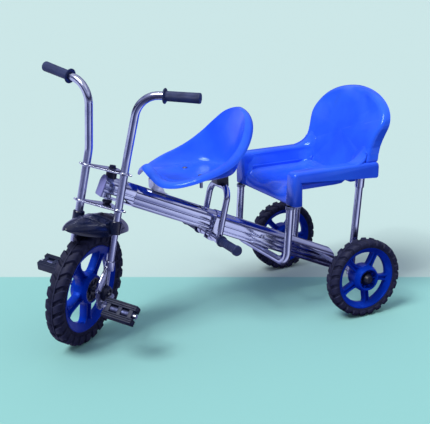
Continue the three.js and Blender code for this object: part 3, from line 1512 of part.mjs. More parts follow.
function pivotBolt(plateHeight, headAbove) {
  const gap = CLEARANCE;
  const near = headAbove ? plateHeight + PLATE_THICKNESS / 2 + gap : plateHeight - PLATE_THICKNESS / 2 - gap;
  const sign = headAbove ? 1 : -1;
  const far = headAbove ? CROWN_T - BUSH_RADIUS : STRAP_TOP_T + BUSH_RADIUS / 2;
  const headFrom = Math.min(near, near + sign * HEX_HEIGHT);
  const across = headAbove ? HEX_SIZE : LOWER_HEX_SIZE;
  const head = rod(across / 2, headFrom, headFrom + HEX_HEIGHT, 6);
  const shankFrom = Math.min(far, near + (sign * HEX_HEIGHT) / 2);
  const shankTo = Math.max(far, near + (sign * HEX_HEIGHT) / 2);
  return join(solid(head), solid(rod(PIVOT_RADIUS, shankFrom, shankTo)));
}

// The stamped hook at the foot of a leg: a socket round the tube, a plate curving ahead of the axle.
function forkEnd() {
  const y = LEG_SPREAD;
  const half = FORK_PLATE_THICKNESS / 2;
  const eye = CRANK_DIAMETER / 2 + CLEARANCE;
  const boltX = FORK_OFFSET + FORK_BOLT_X;
  const outline = [
    [FORK_OFFSET - LEG_DIAMETER / 2, FORK_SOCKET_TOP - LEG_DIAMETER],
    [FORK_OFFSET - LEG_DIAMETER / 2, eye],
    [FORK_OFFSET, eye],
    ...arc(FORK_OFFSET, 0, eye, 90, -90, 6),
    [FORK_OFFSET - LEG_DIAMETER / 2, -eye],
    [FORK_OFFSET - LEG_DIAMETER / 4, -FORK_BOLT_DROP * FORK_HEEL_SHARE],
    ...arc(boltX, -FORK_BOLT_DROP, FORK_BOLT_EYE, 180, 345, 8),
    ...FORK_EDGE_SHARES.map(([x, t]) => [FORK_OFFSET + FORK_BULGE * x, FORK_BULGE * t]),
    [FORK_OFFSET + LEG_DIAMETER / 2, FORK_SOCKET_TOP - LEG_DIAMETER],
  ].filter(([x, t], i, all) => i === 0 || Math.hypot(x - all[i - 1][0], t - all[i - 1][1]) > CLEARANCE);
  const plate = solid(acrossY(outline, y - half, y + half));
  const socket = rod(FORK_SOCKET_RADIUS, LEG_BOTTOM - FLANGE_THICKNESS, FORK_SOCKET_TOP);
  const bore = rod(bored(LEG_DIAMETER / 2), LEG_BOTTOM - CLEARANCE, FORK_SOCKET_TOP + OVERRUN);
  const hole = rodY(bored(PIVOT_RADIUS / 2), y - LEG_SPREAD / 2, y + LEG_SPREAD / 2);
  const holes = [bore.translate(FORK_OFFSET, y, 0), hole.translate(boltX, 0, -FORK_BOLT_DROP)];
  return cut(join(plate, solid(socket.translate(FORK_OFFSET, y, 0))), ...holes.map(solid));
}

function forkBolt() {
  const face = LEG_SPREAD + FORK_PLATE_THICKNESS / 2;
  const head = rodY(HEX_SIZE / 2, face + CLEARANCE, face + CLEARANCE + HEX_HEIGHT * FORK_BOLT_HEAD_SHARE, 6);
  const shank = rodY(PIVOT_RADIUS / 2, face - FORK_PLATE_THICKNESS, face + HEX_HEIGHT / 2, ROD_SIDES);
  const whole = join(solid(head), solid(shank));
  return solid(geometryOf(whole).translate(FORK_OFFSET + FORK_BOLT_X, 0, -FORK_BOLT_DROP));
}

// The black bearing disc that the crank turns in, on the outer face of the fork end.
function crankBush() {
  const inner = LEG_SPREAD + FORK_PLATE_THICKNESS / 2 + CLEARANCE;
  const outer = inner + CRANK_BUSH_LENGTH;
  const bore = bored(CRANK_DIAMETER / 2);
  const profile = [
    [bore, inner],
    [CRANK_BUSH_RADIUS, inner],
    [CRANK_BUSH_RADIUS, outer - HUB_WALL],
    [CRANK_BUSH_RADIUS - HUB_WALL, outer],
    [bore, outer],
  ];
  return solid(turnedY(profile, ROUND_SIDES).translate(FORK_OFFSET, 0, 0));
}

// The mudguard: arched sections lofted from tip to tip, joined to a collar round each leg.
function mudguard() {
  const arch = GUARD_ARCH_STEPS;
  const rings = GUARD_STATION_SHARES.map((share) => {
    const length = share < 0 ? GUARD_REAR : GUARD_FRONT;
    const tip = share < 0 ? GUARD_REAR_TIP : GUARD_FRONT_TIP;
    const swell = (1 - share * share) ** GUARD_WIDTH_SHARE;
    const lift = (1 - share * share) ** GUARD_HEIGHT_SHARE;
    const x = FORK_OFFSET + share * length;
    const half = GUARD_TIP_WIDTH / 2 + (GUARD_HALF_WIDTH - GUARD_TIP_WIDTH / 2) * swell;
    const crown = tip + (GUARD_CROWN - tip) * lift;
    const edge = tip + (GUARD_EDGE - tip) * lift - GUARD_THICKNESS - GUARD_THICKNESS / 2;
    const bow = (inset) =>
      Array.from({ length: arch + 1 }, (_, k) => {
        const turn = (Math.PI * k) / arch;
        const rise = Math.sin(turn) ** GUARD_ARCH_SHARE;
        return [x, (half - inset) * Math.cos(turn), edge + (crown - inset - edge) * rise];
      });
    return [...bow(0), ...bow(GUARD_THICKNESS).reverse()];
  });
  const body = solid(loft(rings));
  const collar = rod(LEG_DIAMETER / 2 + CLEARANCE + GUARD_COLLAR_WALL, GUARD_COLLAR_BOTTOM, GUARD_COLLAR_TOP);
  const left = solid(collar.translate(FORK_OFFSET, LEG_SPREAD, 0));
  const bore = rod(bored(LEG_DIAMETER / 2), GUARD_REAR_TIP - OVERRUN, GUARD_CROWN + OVERRUN);
  const leftBore = solid(bore.translate(FORK_OFFSET, LEG_SPREAD, 0));
  return cut(join(body, left, mirrored(left)), leftBore, mirrored(leftBore));
}

// Rings of points joined each to the next, with the first and last closed by a fan of strips.
function loft(rings) {
  const count = rings[0].length;
  const vertices = rings.flat(2);
  const index = [];
  for (let i = 0; i < rings.length - 1; i += 1) {
    for (let k = 0; k < count; k += 1) {
      const l = (k + 1) % count;
      const [a, b, c, d] = [i * count + k, i * count + l, (i + 1) * count + l, (i + 1) * count + k];
      index.push(a, b, c, a, c, d);
    }
  }
  const last = (rings.length - 1) * count;
  for (let k = 0; k < count / 2 - 1; k += 1) {
    const [a, b, c, d] = [k, k + 1, count - 2 - k, count - 1 - k];
    index.push(a, c, b, a, d, c);
    index.push(last + a, last + b, last + c, last + a, last + c, last + d);
  }
  const geometry = new THREE.BufferGeometry();
  geometry.setAttribute("position", new THREE.Float32BufferAttribute(vertices, 3));
  geometry.setIndex(index);
  return geometry;
}

// Crank and pedals, in the wheel's frame with the crank's left arm along +X

function crankAxle() {
  const corners = [
    [-CRANK_THROW, -CRANK_TIP_Y, 0],
    [-CRANK_THROW, -CRANK_ARM_END_Y, 0],
    [0, -CRANK_BEND_Y, 0],
    [0, CRANK_BEND_Y, 0],
    [CRANK_THROW, CRANK_ARM_END_Y, 0],
    [CRANK_THROW, CRANK_TIP_Y, 0],
  ];
  const bends = [CRANK_BEND, CRANK_BEND, CRANK_BEND, CRANK_BEND];
  return tube(route(corners, bends), CRANK_DIAMETER / 2, 0, ROD_SIDES);
}

const sleeveRadius = () => bored(CRANK_DIAMETER / 2, SMALL_SIDES) + SLEEVE_WALL;

// Outline in (x, z) of one tread bar with a groove between its ribs, above and below.
function pedalBar() {
  const inner = PEDAL_WIDTH / 2 - PEDAL_BAR_WIDTH;
  const outer = PEDAL_WIDTH / 2;
  const top = PEDAL_HEIGHT / 2;
  const ribs = PEDAL_RIB_SHARES.map(([x, z]) => [inner + x * PEDAL_BAR_WIDTH, top - z * PEDAL_RIB_DEPTH]);
  const upper = [...ribs, [outer, top / 2]];
  const lower = upper.map(([x, z]) => [x, -z]).reverse();
  return solid(acrossY([...upper, ...lower], PEDAL_INNER_Y, PEDAL_INNER_Y + PEDAL_LENGTH));
}

function pedal() {
  const bar = pedalBar();
  const inner = PEDAL_WIDTH / 2 - PEDAL_BAR_WIDTH / 2;
  const bridges = PEDAL_BRIDGE_SHARES.map((share) => {
    const middle = PEDAL_INNER_Y + share * PEDAL_LENGTH;
    const block = new THREE.BoxGeometry(2 * inner, PEDAL_BRIDGE_LENGTH, PEDAL_BRIDGE_HEIGHT);
    return solid(block.translate(0, middle, 0));
  });
  const bore = rodY(bored(sleeveRadius()), PEDAL_INNER_Y - OVERRUN, PEDAL_INNER_Y + PEDAL_LENGTH + OVERRUN);
  const other = solid(geometryOf(bar).rotateY(Math.PI));
  return cut(join(bar, other, ...bridges), solid(bore));
}

function pedalSleeve() {
  const bore = bored(CRANK_DIAMETER / 2, SMALL_SIDES);
  const outer = sleeveRadius();
  const end = PEDAL_INNER_Y + PEDAL_LENGTH - CLEARANCE;
  const profile = [
    [bore, PEDAL_INNER_Y],
    [outer, PEDAL_INNER_Y],
    [outer, end],
    [bore, end],
  ];
  return solid(turnedY(profile, SMALL_SIDES));
}

// A left and a right pedal, each with its sleeve, at the ends of the crank.
function pedals() {
  return [
    ["left", 1, LEFT_PEDAL_TILT],
    ["right", -1, RIGHT_PEDAL_TILT],
  ].map(([side, sign, tilt]) => {
    const group = new THREE.Group();
    group.position.x = sign * CRANK_THROW;
    group.rotation.y = (tilt + CRANK_ANGLE) * RAD;
    const body = sign > 0 ? pedal() : mirrored(pedal());
    const sleeve = sign > 0 ? pedalSleeve() : mirrored(pedalSleeve());
    group.add(piece("pedal_" + side, body, BLACK), piece("pedal_sleeve_" + side, sleeve, GREY));
    return group;
  });
}

// Assemblies

function frame() {
  const group = new THREE.Group();
  group.add(
    piece("main_beam", mainBeam(), CHROME),
    piece("beam_end_cap", beamEndCap(), STEEL),
    piece("upper_pivot_bush", upperBush(), BLACK),
    piece("lower_pivot_neck", lowerNeck(), STEEL),
    piece("lower_pivot_cup", lowerCup(), BLACK),
    piece("beam_bolt", beamBolt(), STEEL),
    piece("rear_axle", rearAxle(), STEEL),
    piece("seat_frame_tube", seatFrameTube(), CHROME),
    piece("peg_bar", pegBar(), CHROME),
    piece("seat_post_hoop", seatPostHoop(), CHROME),
    piece("saddle_clamp", saddleClamp(), BLACK),
    piece("front_seat_bracket", frontSeatBracket(), STEEL),
    piece("seat_mount_block", seatMountBlock(), BLACK),
    piece("front_seat", frontSeat(), BLUE),
    piece("rear_seat", rearSeat(), BLUE),
    ...pair("rear_post", rearPost(), CHROME),
    ...pair("seat_flange", seatFlange(), STEEL),
    ...pair("peg_grip", pegGrip(), RUBBER),
    ...pair("front_seat_screw", seatScrew(), STEEL),
    ...pair("axle_cap", axleCap(), BLACK),
    ...pair("axle_spacer", axleSpacer(), STEEL),
  );
  return group;
}

function rearWheels() {
  const tread = tyre(REAR_RADIUS, REAR_LUGS, REAR_RIM_OUTER);
  const rim = rearRim();
  const group = new THREE.Group();
  for (const [side, sign] of [["left", 1], ["right", -1]]) {
    const wheel = new THREE.Group();
    wheel.position.set(0, (sign * REAR_TRACK) / 2, AXLE_HEIGHT);
    wheel.add(piece("rear_tyre_" + side, sign > 0 ? tread : mirrored(tread), RUBBER));
    wheel.add(piece("rear_rim_" + side, sign > 0 ? rim : mirrored(rim), WHEEL_BLUE));
    group.add(wheel);
  }
  return group;
}

function frontWheel() {
  const group = new THREE.Group();
  group.position.x = FORK_OFFSET;
  group.rotation.y = HEAD_SLOPE * RAD;
  const crank = new THREE.Group();
  crank.rotation.y = -CRANK_ANGLE * RAD;
  crank.add(piece("crank_axle", crankAxle(), STEEL), ...pedals());
  group.add(
    piece("front_tyre", tyre(FRONT_RADIUS, FRONT_LUGS, FRONT_RIM_OUTER), RUBBER),
    piece("front_rim", frontRim(), WHEEL_BLUE),
    ...pair("hub_insert", hubInsert(), BLACK),
    crank,
  );
  return group;
}

function fork() {
  const tilted = new THREE.Group();
  tilted.position.set(HEAD_X, 0, HEAD_Z);
  tilted.rotation.y = -HEAD_SLOPE * RAD;
  const steered = new THREE.Group();
  steered.rotation.z = STEER_ANGLE * RAD;
  steered.add(
    ...pair("handlebar", handlebar(), CHROME),
    ...pair("grip", grip(), RUBBER),
    piece("upper_plate", forkPlate(UPPER_PLATE_HEIGHT), CHROME),
    piece("lower_plate", forkPlate(LOWER_PLATE_HEIGHT), CHROME),
    piece("pivot_bolt_upper", pivotBolt(UPPER_PLATE_HEIGHT, true), STEEL),
    piece("pivot_bolt_lower", pivotBolt(LOWER_PLATE_HEIGHT, false), STEEL),
    ...pair("fork_end", forkEnd(), STEEL),
    ...pair("fork_bolt", forkBolt(), STEEL),
    ...pair("crank_bush", crankBush(), BLACK),
    piece("mudguard", mudguard(), BLACK),
    frontWheel(),
  );
  tilted.add(steered);
  return tilted;
}

// The whole tricycle, standing on the ground with its footprint's middle at the origin.
function tricycle() {
  const body = new THREE.Group();
  body.add(frame(), rearWheels(), fork());
  body.updateMatrixWorld(true);
  const box = new THREE.Box3().setFromObject(body, true);
  const middle = box.getCenter(new THREE.Vector3());
  body.position.set(-middle.x, -middle.y, -box.min.z);
  const group = new THREE.Group();
  group.add(body);
  return group;
}

const group = tricycle();
export default group;
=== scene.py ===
"""Finished looks of a two-seat pedal tricycle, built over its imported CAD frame.

Lengths are in millimetres in each sub-assembly's own frame, and a place matrix turns them into metres in the
row's frame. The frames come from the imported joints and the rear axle, so every piece sits where the CAD has
it.
"""

import json
import logging
from dataclasses import dataclass, field
from enum import Enum
from functools import cached_property
from math import atan2, ceil, copysign, cos, degrees, exp, hypot, pi, radians, sin, sqrt, tan
from typing import Callable, Sequence

import bmesh
import bpy
from mathutils import Matrix, Vector

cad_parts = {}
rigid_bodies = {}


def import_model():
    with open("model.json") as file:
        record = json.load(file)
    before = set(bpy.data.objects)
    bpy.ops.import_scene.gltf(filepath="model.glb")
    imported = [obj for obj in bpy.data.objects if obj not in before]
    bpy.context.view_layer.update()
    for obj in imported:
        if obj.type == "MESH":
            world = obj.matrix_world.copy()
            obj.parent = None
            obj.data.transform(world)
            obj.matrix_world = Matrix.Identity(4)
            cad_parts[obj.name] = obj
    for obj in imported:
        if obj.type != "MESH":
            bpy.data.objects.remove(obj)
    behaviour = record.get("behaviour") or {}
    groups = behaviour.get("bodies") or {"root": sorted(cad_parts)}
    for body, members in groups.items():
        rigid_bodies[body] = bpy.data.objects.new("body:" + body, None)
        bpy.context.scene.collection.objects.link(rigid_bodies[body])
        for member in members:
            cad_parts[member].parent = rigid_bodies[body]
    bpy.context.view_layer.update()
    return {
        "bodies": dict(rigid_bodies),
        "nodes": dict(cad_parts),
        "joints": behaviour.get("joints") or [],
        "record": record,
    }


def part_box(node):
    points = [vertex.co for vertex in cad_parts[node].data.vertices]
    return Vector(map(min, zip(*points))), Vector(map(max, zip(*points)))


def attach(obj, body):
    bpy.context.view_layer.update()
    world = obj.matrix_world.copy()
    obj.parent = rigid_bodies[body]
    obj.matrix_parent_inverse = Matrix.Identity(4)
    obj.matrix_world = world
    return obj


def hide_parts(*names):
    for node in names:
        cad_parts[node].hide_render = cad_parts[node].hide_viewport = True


LOG = logging.getLogger("tricycle")
MM = 0.001
Point = tuple[float, float]
Space = tuple[float, float, float]


# ---------------------------------------------------------------- shares and outlines


def mix(a: float, b: float, share: float) -> float:
    """The value a share of the way from a to b."""
    return a + (b - a) * share


def unit(value: float) -> float:
    """The value, held between 0 and 1."""
    return min(max(value, 0.0), 1.0)


def eased(share: float) -> float:
    """A share that leaves 0 and comes to 1 softly."""
    return share * share * (3 - 2 * share)


def between(a: Point, b: Point, first: float, second: float) -> Point:
    """The point a share of the way from a to b, along each axis by itself."""
    return (mix(a[0], b[0], first), mix(a[1], b[1], second))


def fillet(points: Sequence[Point], radius: float, steps: int = 3, closed: bool = True) -> list[Point]:
    """Rounds the corners of an outline.

    Args:
        points: The outline's corners in order.
        radius: The rounding, made smaller where an edge is short.
        steps: How many edges each rounded corner gets.
        closed: Whether the last corner joins the first.

    Returns:
        The outline with every corner rounded.
    """
    made: list[Point] = []
    count = len(points)
    for i, (x, y) in enumerate(points):
        if not closed and i in (0, count - 1):
            made.append((x, y))
            continue
        before, after, here = Vector(points[i - 1]), Vector(points[(i + 1) % count]), Vector((x, y))
        a, b = before - here, after - here
        if a.length < 1e-6 or b.length < 1e-6:
            continue
        angle = a.angle(b)
        if angle > radians(174):
            made.append((x, y))
            continue
        reach = min(radius / tan(angle / 2), a.length * 0.45, b.length * 0.45)
        start, end = here + a.normalized() * reach, here + b.normalized() * reach
        for k in range(steps + 1):
            t = k / steps
            p = start * (1 - t) ** 2 + here * 2 * t * (1 - t) + end * t**2
            made.append((p.x, p.y))
    return made


def arc(centre: Point, radius: float, start: float, end: float, steps: int) -> list[Point]:
    """Points on an arc from one angle to another, in degrees."""
    turns = [radians(start + (end - start) * i / steps) for i in range(steps + 1)]
    return [(centre[0] + radius * cos(t), centre[1] + radius * sin(t)) for t in turns]


def regular(radius: float, sides: int, at: Point = (0.0, 0.0)) -> list[Point]:
    """Corners of a regular outline about its middle."""
    turns = [2 * pi * i / sides for i in range(sides)]
    return [(at[0] + radius * cos(t), at[1] + radius * sin(t)) for t in turns]


def box(x0: float, y0: float, x1: float, y1: float) -> list[Point]:
    """Corners of a rectangle between two opposite ones."""
    return [(x0, y0), (x1, y0), (x1, y1), (x0, y1)]


def inset_outline(points: Sequence[Point], amount: float) -> list[Point]:
    """Draws a closed outline in by an amount, square to its edges.

    Args:
        points: The outline.
        amount: How far in; a negative amount grows it.

    Returns:
        As many points, moved inwards.
    """
    count = len(points)
    area = sum(points[i - 1][0] * points[i][1] - points[i][0] * points[i - 1][1] for i in range(count))
    sign = 1.0 if area > 0 else -1.0
    made = []
    for i, (x, y) in enumerate(points):
        before, after = points[i - 1], points[(i + 1) % count]
        a = Vector((x - before[0], y - before[1])).normalized()
        b = Vector((after[0] - x, after[1] - y)).normalized()
        inward = Vector((-(a.y + b.y), a.x + b.x)) * sign
        if inward.length < 1e-6:
            inward = Vector((-a.y, a.x)) * sign
        inward.normalize()
        share = max(0.5, abs(inward.dot(Vector((-a.y, a.x)))))
        made.append((x + inward.x * amount / share, y + inward.y * amount / share))
    return made


def smooth_table(values: Sequence[float], place: float) -> float:
    """Reads a table between its entries along a smooth curve.

    Args:
        values: Evenly spaced values from place 0 to place 1.
        place: Where to read, from 0 to 1.

    Returns:
        The value there.
    """
    last = len(values) - 1
    at = unit(place) * last
    i = min(int(at), last - 1)
    t = at - i
    a, b, c, d = (values[min(max(i + k, 0), last)] for k in (-1, 0, 1, 2))
    return b + 0.5 * t * (c - a + t * (2 * a - 5 * b + 4 * c - d + t * (3 * (b - c) + d - a)))


# ---------------------------------------------------------------- routes of tubes


@dataclass(frozen=True)
class Route:
    """A tube's centre line: straight runs with rounded corners."""

    corners: Sequence[Space]
    bends: Sequence[float]
    step: float = 5.0

    def stations(self) -> list[tuple[Vector, Vector]]:
        """Finds places along the route, close enough together for its bends.

        Returns:
            Each place with the direction of the route there.
        """
        points = [Vector(c) for c in self.corners]
        ways = [(b - a).normalized() for a, b in zip(points, points[1:])]
        made = [(points[0], ways[0])]
        for i in range(1, len(points) - 1):
            before, after = ways[i - 1], ways[i]
            turn, radius = before.angle(after), self.bends[i - 1]
            start = points[i] - before * radius * tan(turn / 2)
            inward = (after - before * after.dot(before)).normalized()
            centre = start + inward * radius
            steps = max(3, ceil(degrees(turn) / self.step))
            for k in range(steps + 1):
                angle = turn * k / steps
                way = before * cos(angle) + inward * sin(angle)
                spot = centre - inward * radius * cos(angle) + before * radius * sin(angle)
                made.append((spot, way))
        made.append((points[-1], ways[-1]))
        return made


# ---------------------------------------------------------------- drafts of meshes


class Axis(Enum):
    """The local axis that an outline is drawn out along or turned about."""

    X = "x"
    Y = "y"
    Z = "z"

    def spot(self, u: float, v: float, w: float) -> Space:
        """The place of outline point (u, v) at distance w along the axis."""
        return {"x": (w, u, v), "y": (u, w, v), "z": (u, v, w)}[self.value]


class Draft:
    """Points and faces of one piece, gathered shell by shell in a local frame."""

    def __init__(self, place: Matrix) -> None:
        """Starts an empty draft.

        Args:
            place: Turns the local frame's millimetres into metres in the row's frame.
        """
        self.place = place
        self.points: list[Space] = []
        self.faces: list[list[int]] = []

    def rings(self, rings: Sequence[Sequence[Space]], loop: bool = False, caps: bool = True) -> None:
        """Joins rings of points, each to the next.

        Args:
            rings: The rings, all with as many points.
            loop: Whether the last ring joins the first.
            caps: Whether the two end rings are closed by faces.
        """
        base, count = len(self.points), len(rings[0])
        for ring in rings:
            self.points.extend(tuple(p) for p in ring)
        for i in range(len(rings) if loop else len(rings) - 1):
            a, b = base + i * count, base + (i + 1) % len(rings) * count
            for k in range(count):
                m = (k + 1) % count
                self.faces.append([a + k, a + m, b + m, b + k])
        if caps and not loop:
            self.faces.append([base + k for k in range(count)])
            self.faces.append([base + (len(rings) - 1) * count + k for k in range(count)])

    def sheet(self, rows: Sequence[Sequence[Space]]) -> None:
        """Joins rows of points into an open sheet.

        Args:
            rows: The rows, all with as many points.
        """
        base, count = len(self.points), len(rows[0])
        for row in rows:
            self.points.extend(tuple(p) for p in row)
        for i in range(len(rows) - 1):
            for k in range(count - 1):
                a = base + i * count + k
                self.faces.append([a, a + 1, a + count + 1, a + count])

    def turn(
        self, axis: Axis, profile: Sequence[Point], sides: int = 48, edge: float = 0.5, at: Space = (0, 0, 0)
    ) -> None:
        """Turns a closed profile of (radius, height) pairs about an axis.

        Args:
            axis: The axis.
            profile: The profile's corners.
            sides: How many steps go round.
            edge: The rounding of the profile's corners.
            at: Where the axis passes.
        """
        drawn = fillet(profile, edge) if edge > 0 else list(profile)
        drawn = [(max(r, 0.02), h) for r, h in drawn]
        made = []
        for i in range(sides):
            c, s = cos(2 * pi * i / sides), sin(2 * pi * i / sides)
            ring = [axis.spot(r * c, r * s, h) for r, h in drawn]
            made.append([(x + at[0], y + at[1], z + at[2]) for x, y, z in ring])
        self.rings(made, loop=True)

    def prism(
        self,
        axis: Axis,
        outline: Sequence[Point],
        low: float,
        high: float,
        edge: float = 0.8,
        corner: float = 0.0,
    ) -> None:
        """Draws a closed outline out along an axis, with its end edges rounded.

        Args:
            axis: The axis.
            outline: The outline's corners.
            low: Where it starts.
            high: Where it ends.
            edge: The rounding of the end edges.
            corner: The rounding of the outline's own corners.
        """
        drawn = fillet(outline, corner) if corner > 0 else list(outline)
        edge = min(edge, (high - low) / 2.01)
        ends = [(edge * (1 - sin(a)), edge * (1 - cos(a))) for a in (0, 0.52, 1.05, pi / 2)]
        stops = [(inset, low + depth) for inset, depth in ends]
        stops += [(inset, high - depth) for inset, depth in reversed(ends)]
        self.rings([[axis.spot(u, v, at) for u, v in inset_outline(drawn, inset)] for inset, at in stops])

    def tube(self, route: Route, radius: float, wall: float = 0.0, sides: int = 28) -> None:
        """Sweeps a round tube or rod along a route.

        Args:
            route: The centre line.
            radius: The outer radius.
            wall: The wall, or 0 for a solid rod.
            sides: How many steps go round.
        """
        stations = route.stations()
        across = stations[0][1].orthogonal().normalized()
        frames = []
        for spot, way in stations:
            across = (across - way * across.dot(way)).normalized()
            frames.append((spot, way, across, way.cross(across)))

        def ring(frame: tuple[Vector, Vector, Vector, Vector], r: float, shift: float = 0.0) -> list[Space]:
            """Goes once round the tube at a station.

            Args:
                frame: The station, its direction and the two directions across it.
                r: The ring's radius.
                shift: How far on from the station.

            Returns:
                The ring's points.
            """
            spot, way, a, b = frame
            turns = [2 * pi * i / sides for i in range(sides)]
            return [tuple(spot + way * shift + a * r * cos(t) + b * r * sin(t)) for t in turns]

        edge = min(0.6, wall / 2) if wall > 0 else 0.8
        made = [ring(frames[0], radius - edge), ring(frames[0], radius, edge)]
        made += [ring(f, radius) for f in frames[1:-1]]
        made += [ring(frames[-1], radius, -edge), ring(frames[-1], radius - edge)]
        if wall > 0:
            made += [ring(f, radius - wall) for f in reversed(frames)]
        self.rings(made, loop=wall > 0)

    def moved(self, rule: Callable[[Space], Space], start: int = 0) -> None:
        """Moves every point from a given one on by a rule."""
        self.points[start:] = [tuple(rule(p)) for p in self.points[start:]]

    def piece(
        self, node: str, look: str, finish: "Finish", body: str = "frame", sharp: float = 32.0
    ) -> bpy.types.Object:
        """Makes the piece, dresses it and hangs it on its CAD body.

        Args:
            node: The CAD node that it stands for, which its name starts with.
            look: The rest of its name.
            finish: What it is made of.
            body: The CAD body that it moves with.
            sharp: The angle in degrees above which an edge stays crisp.

        Returns:
            The Blender object.
        """
        name = node + "_" + look
        mesh = bpy.data.meshes.new(name)
        mesh.from_pydata([self.place @ Vector(p) for p in self.points], [], self.faces)
        work = bmesh.new()
        work.from_mesh(mesh)
        bmesh.ops.remove_doubles(work, verts=work.verts, dist=1e-6)
        bmesh.ops.dissolve_degenerate(work, edges=work.edges, dist=1e-6)
        bmesh.ops.recalc_face_normals(work, faces=work.faces)
        work.to_mesh(mesh)
        work.free()
        mesh.shade_smooth()
        mesh.set_sharp_from_angle(angle=radians(sharp))
        made = bpy.data.objects.new(name, mesh)
        bpy.context.scene.collection.objects.link(made)
        mesh.materials.append(finish.material())
        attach(made, body)
        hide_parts(node)
        LOG.info("%s: %d faces on %s", name, len(mesh.polygons), body)
        return made


# ---------------------------------------------------------------- finishes


def linear(colour: str) -> tuple[float, float, float, float]:
    """Turns an sRGB colour into the linear values that a shader takes.

    Args:
        colour: The colour in hex, such as "#2E68FA".

    Returns:
        Linear red, green and blue, and a full alpha.
    """
    parts = [int(colour.lstrip("#")[i : i + 2], 16) / 255 for i in (0, 2, 4)]
    made = [c / 12.92 if c <= 0.04045 else ((c + 0.055) / 1.055) ** 2.4 for c in parts]
    return (made[0], made[1], made[2], 1.0)


def add_node(
    tree: bpy.types.NodeTree,
    kind: str,
    values: dict | None = None,
    links: dict | None = None,
    **settings: object,
) -> bpy.types.Node:
    """Adds a shader node with its settings, values and links.

    Args:
        tree: The node tree.
        kind: The node's Blender type.
        values: Values for its inputs, by name or number.
        links: Sockets to link to its inputs, by name or number.
        **settings: Properties of the node itself.

    Returns:
        The node.
    """
    node = tree.nodes.new(kind)
    for key, value in settings.items():
        setattr(node, key, value)
    for key, value in (values or {}).items():
        node.inputs[key].default_value = value
    for key, socket in (links or {}).items():
        tree.links.new(socket, node.inputs[key])
    return node


@dataclass(frozen=True)
class Finish:
    """A surface finish: colours, gloss and patterns: soft patches, grain, and a colour on convex edges that is
    rub wear, on the seats also a painted edge highlight.

    Attributes:
        title: What the material is called.
        slot: The record's material slot; not used here.
        colour: The main colour, as sRGB hex.
        shade: The second colour, which shows in soft patches.
        worn_and_glint_colour: The colour of convex edges: rub wear, and on the seats also a painted edge
            highlight.
        metallic: 1 for metal, 0 otherwise.
        ior: Index of refraction, for what isn't metal.
        smooth: Roughness where the surface is cleanest.
        dull: Roughness where it is most handled.
        patch_mm: Size of the soft patches.
        grain_mm: Size of the surface's grain.
        relief_mm: Height of the grain.
        wear_and_glint: How much of the edge colour shows at convex edges, from 0 to 1.
        coat: Strength of a clear gloss over the colour.
        stretch: How much the patches and the grain are stretched along each axis.
        tint: The colour of the gloss itself.
    """

    title: str
    slot: str
    colour: str
    shade: str
    worn_and_glint_colour: str
    metallic: float = 0.0
    ior: float = 1.5
    smooth: float = 0.3
    dull: float = 0.5
    patch_mm: float = 60.0
    grain_mm: float = 1.5
    relief_mm: float = 0.05
    wear_and_glint: float = 0.2
    coat: float = 0.0
    stretch: Space = (1.0, 1.0, 1.0)
    tint: str = "#FFFFFF"

    def material(self) -> bpy.types.Material:
        """Makes the material once, for all pieces of this finish.

        Returns:
            The Blender material.
        """
        known = bpy.data.materials.get(self.title)
        if known is not None:
            return known
        made = bpy.data.materials.new(self.title)
        made.use_nodes = True
        tree = made.node_tree
        tree.nodes.clear()
        place = add_node(tree, "ShaderNodeTexCoord").outputs["Object"]
        scale = {"Scale": self.stretch}
        drawn = add_node(tree, "ShaderNodeMapping", scale, {"Vector": place}).outputs["Vector"]
        noise = {"Scale": 1 / (self.patch_mm * MM), "Detail": 3.0, "Roughness": 0.55}
        patch = add_node(tree, "ShaderNodeTexNoise", noise, {"Vector": drawn}).outputs["Fac"]
        noise = {"Scale": 1 / (self.grain_mm * MM), "Detail": 2.0}
        grain = add_node(tree, "ShaderNodeTexNoise", noise, {"Vector": drawn}).outputs["Fac"]
        span = {"From Min": 0.35, "From Max": 0.68}
        soft = add_node(tree, "ShaderNodeMapRange", span, {"Value": patch}).outputs["Result"]
        tones = {6: linear(self.colour), 7: linear(self.shade)}
        tone = add_node(tree, "ShaderNodeMix", tones, {0: soft}, data_type="RGBA").outputs[2]
        # Convex edges, found by pointiness, take the edge colour: rub wear, and on the seats also a painted
        # edge highlight.
        point = add_node(tree, "ShaderNodeNewGeometry").outputs["Pointiness"]
        span = {"From Min": 0.52, "From Max": 0.6, "To Max": self.wear_and_glint}
        edge = add_node(tree, "ShaderNodeMapRange", span, {"Value": point}).outputs["Result"]
        rub_and_glint_mask = add_node(tree, "ShaderNodeMath", links={0: edge, 1: soft}, operation="MULTIPLY").outputs[0]
        worn_and_glint_colour = {7: linear(self.worn_and_glint_colour)}
        colour = add_node(tree, "ShaderNodeMix", worn_and_glint_colour, {0: rub_and_glint_mask, 6: tone}, data_type="RGBA").outputs[2]
        span = {"From Min": 0.3, "From Max": 0.7, "To Min": self.smooth, "To Max": self.dull}
        gloss = add_node(tree, "ShaderNodeMapRange", span, {"Value": patch}).outputs["Result"]
        relief = {"Strength": 0.6, "Distance": self.relief_mm * MM}
        bump = add_node(tree, "ShaderNodeBump", relief, {"Height": grain}).outputs["Normal"]
        surface = {
            "Metallic": self.metallic, "IOR": self.ior, "Coat Weight": self.coat, "Coat Roughness": 0.08,
            "Specular Tint": linear(self.tint),
        }
        drives = {"Base Color": colour, "Roughness": gloss, "Normal": bump}
        shader = add_node(tree, "ShaderNodeBsdfPrincipled", surface, drives)
        add_node(tree, "ShaderNodeOutputMaterial", links={"Surface": shader.outputs[0]})
        return made


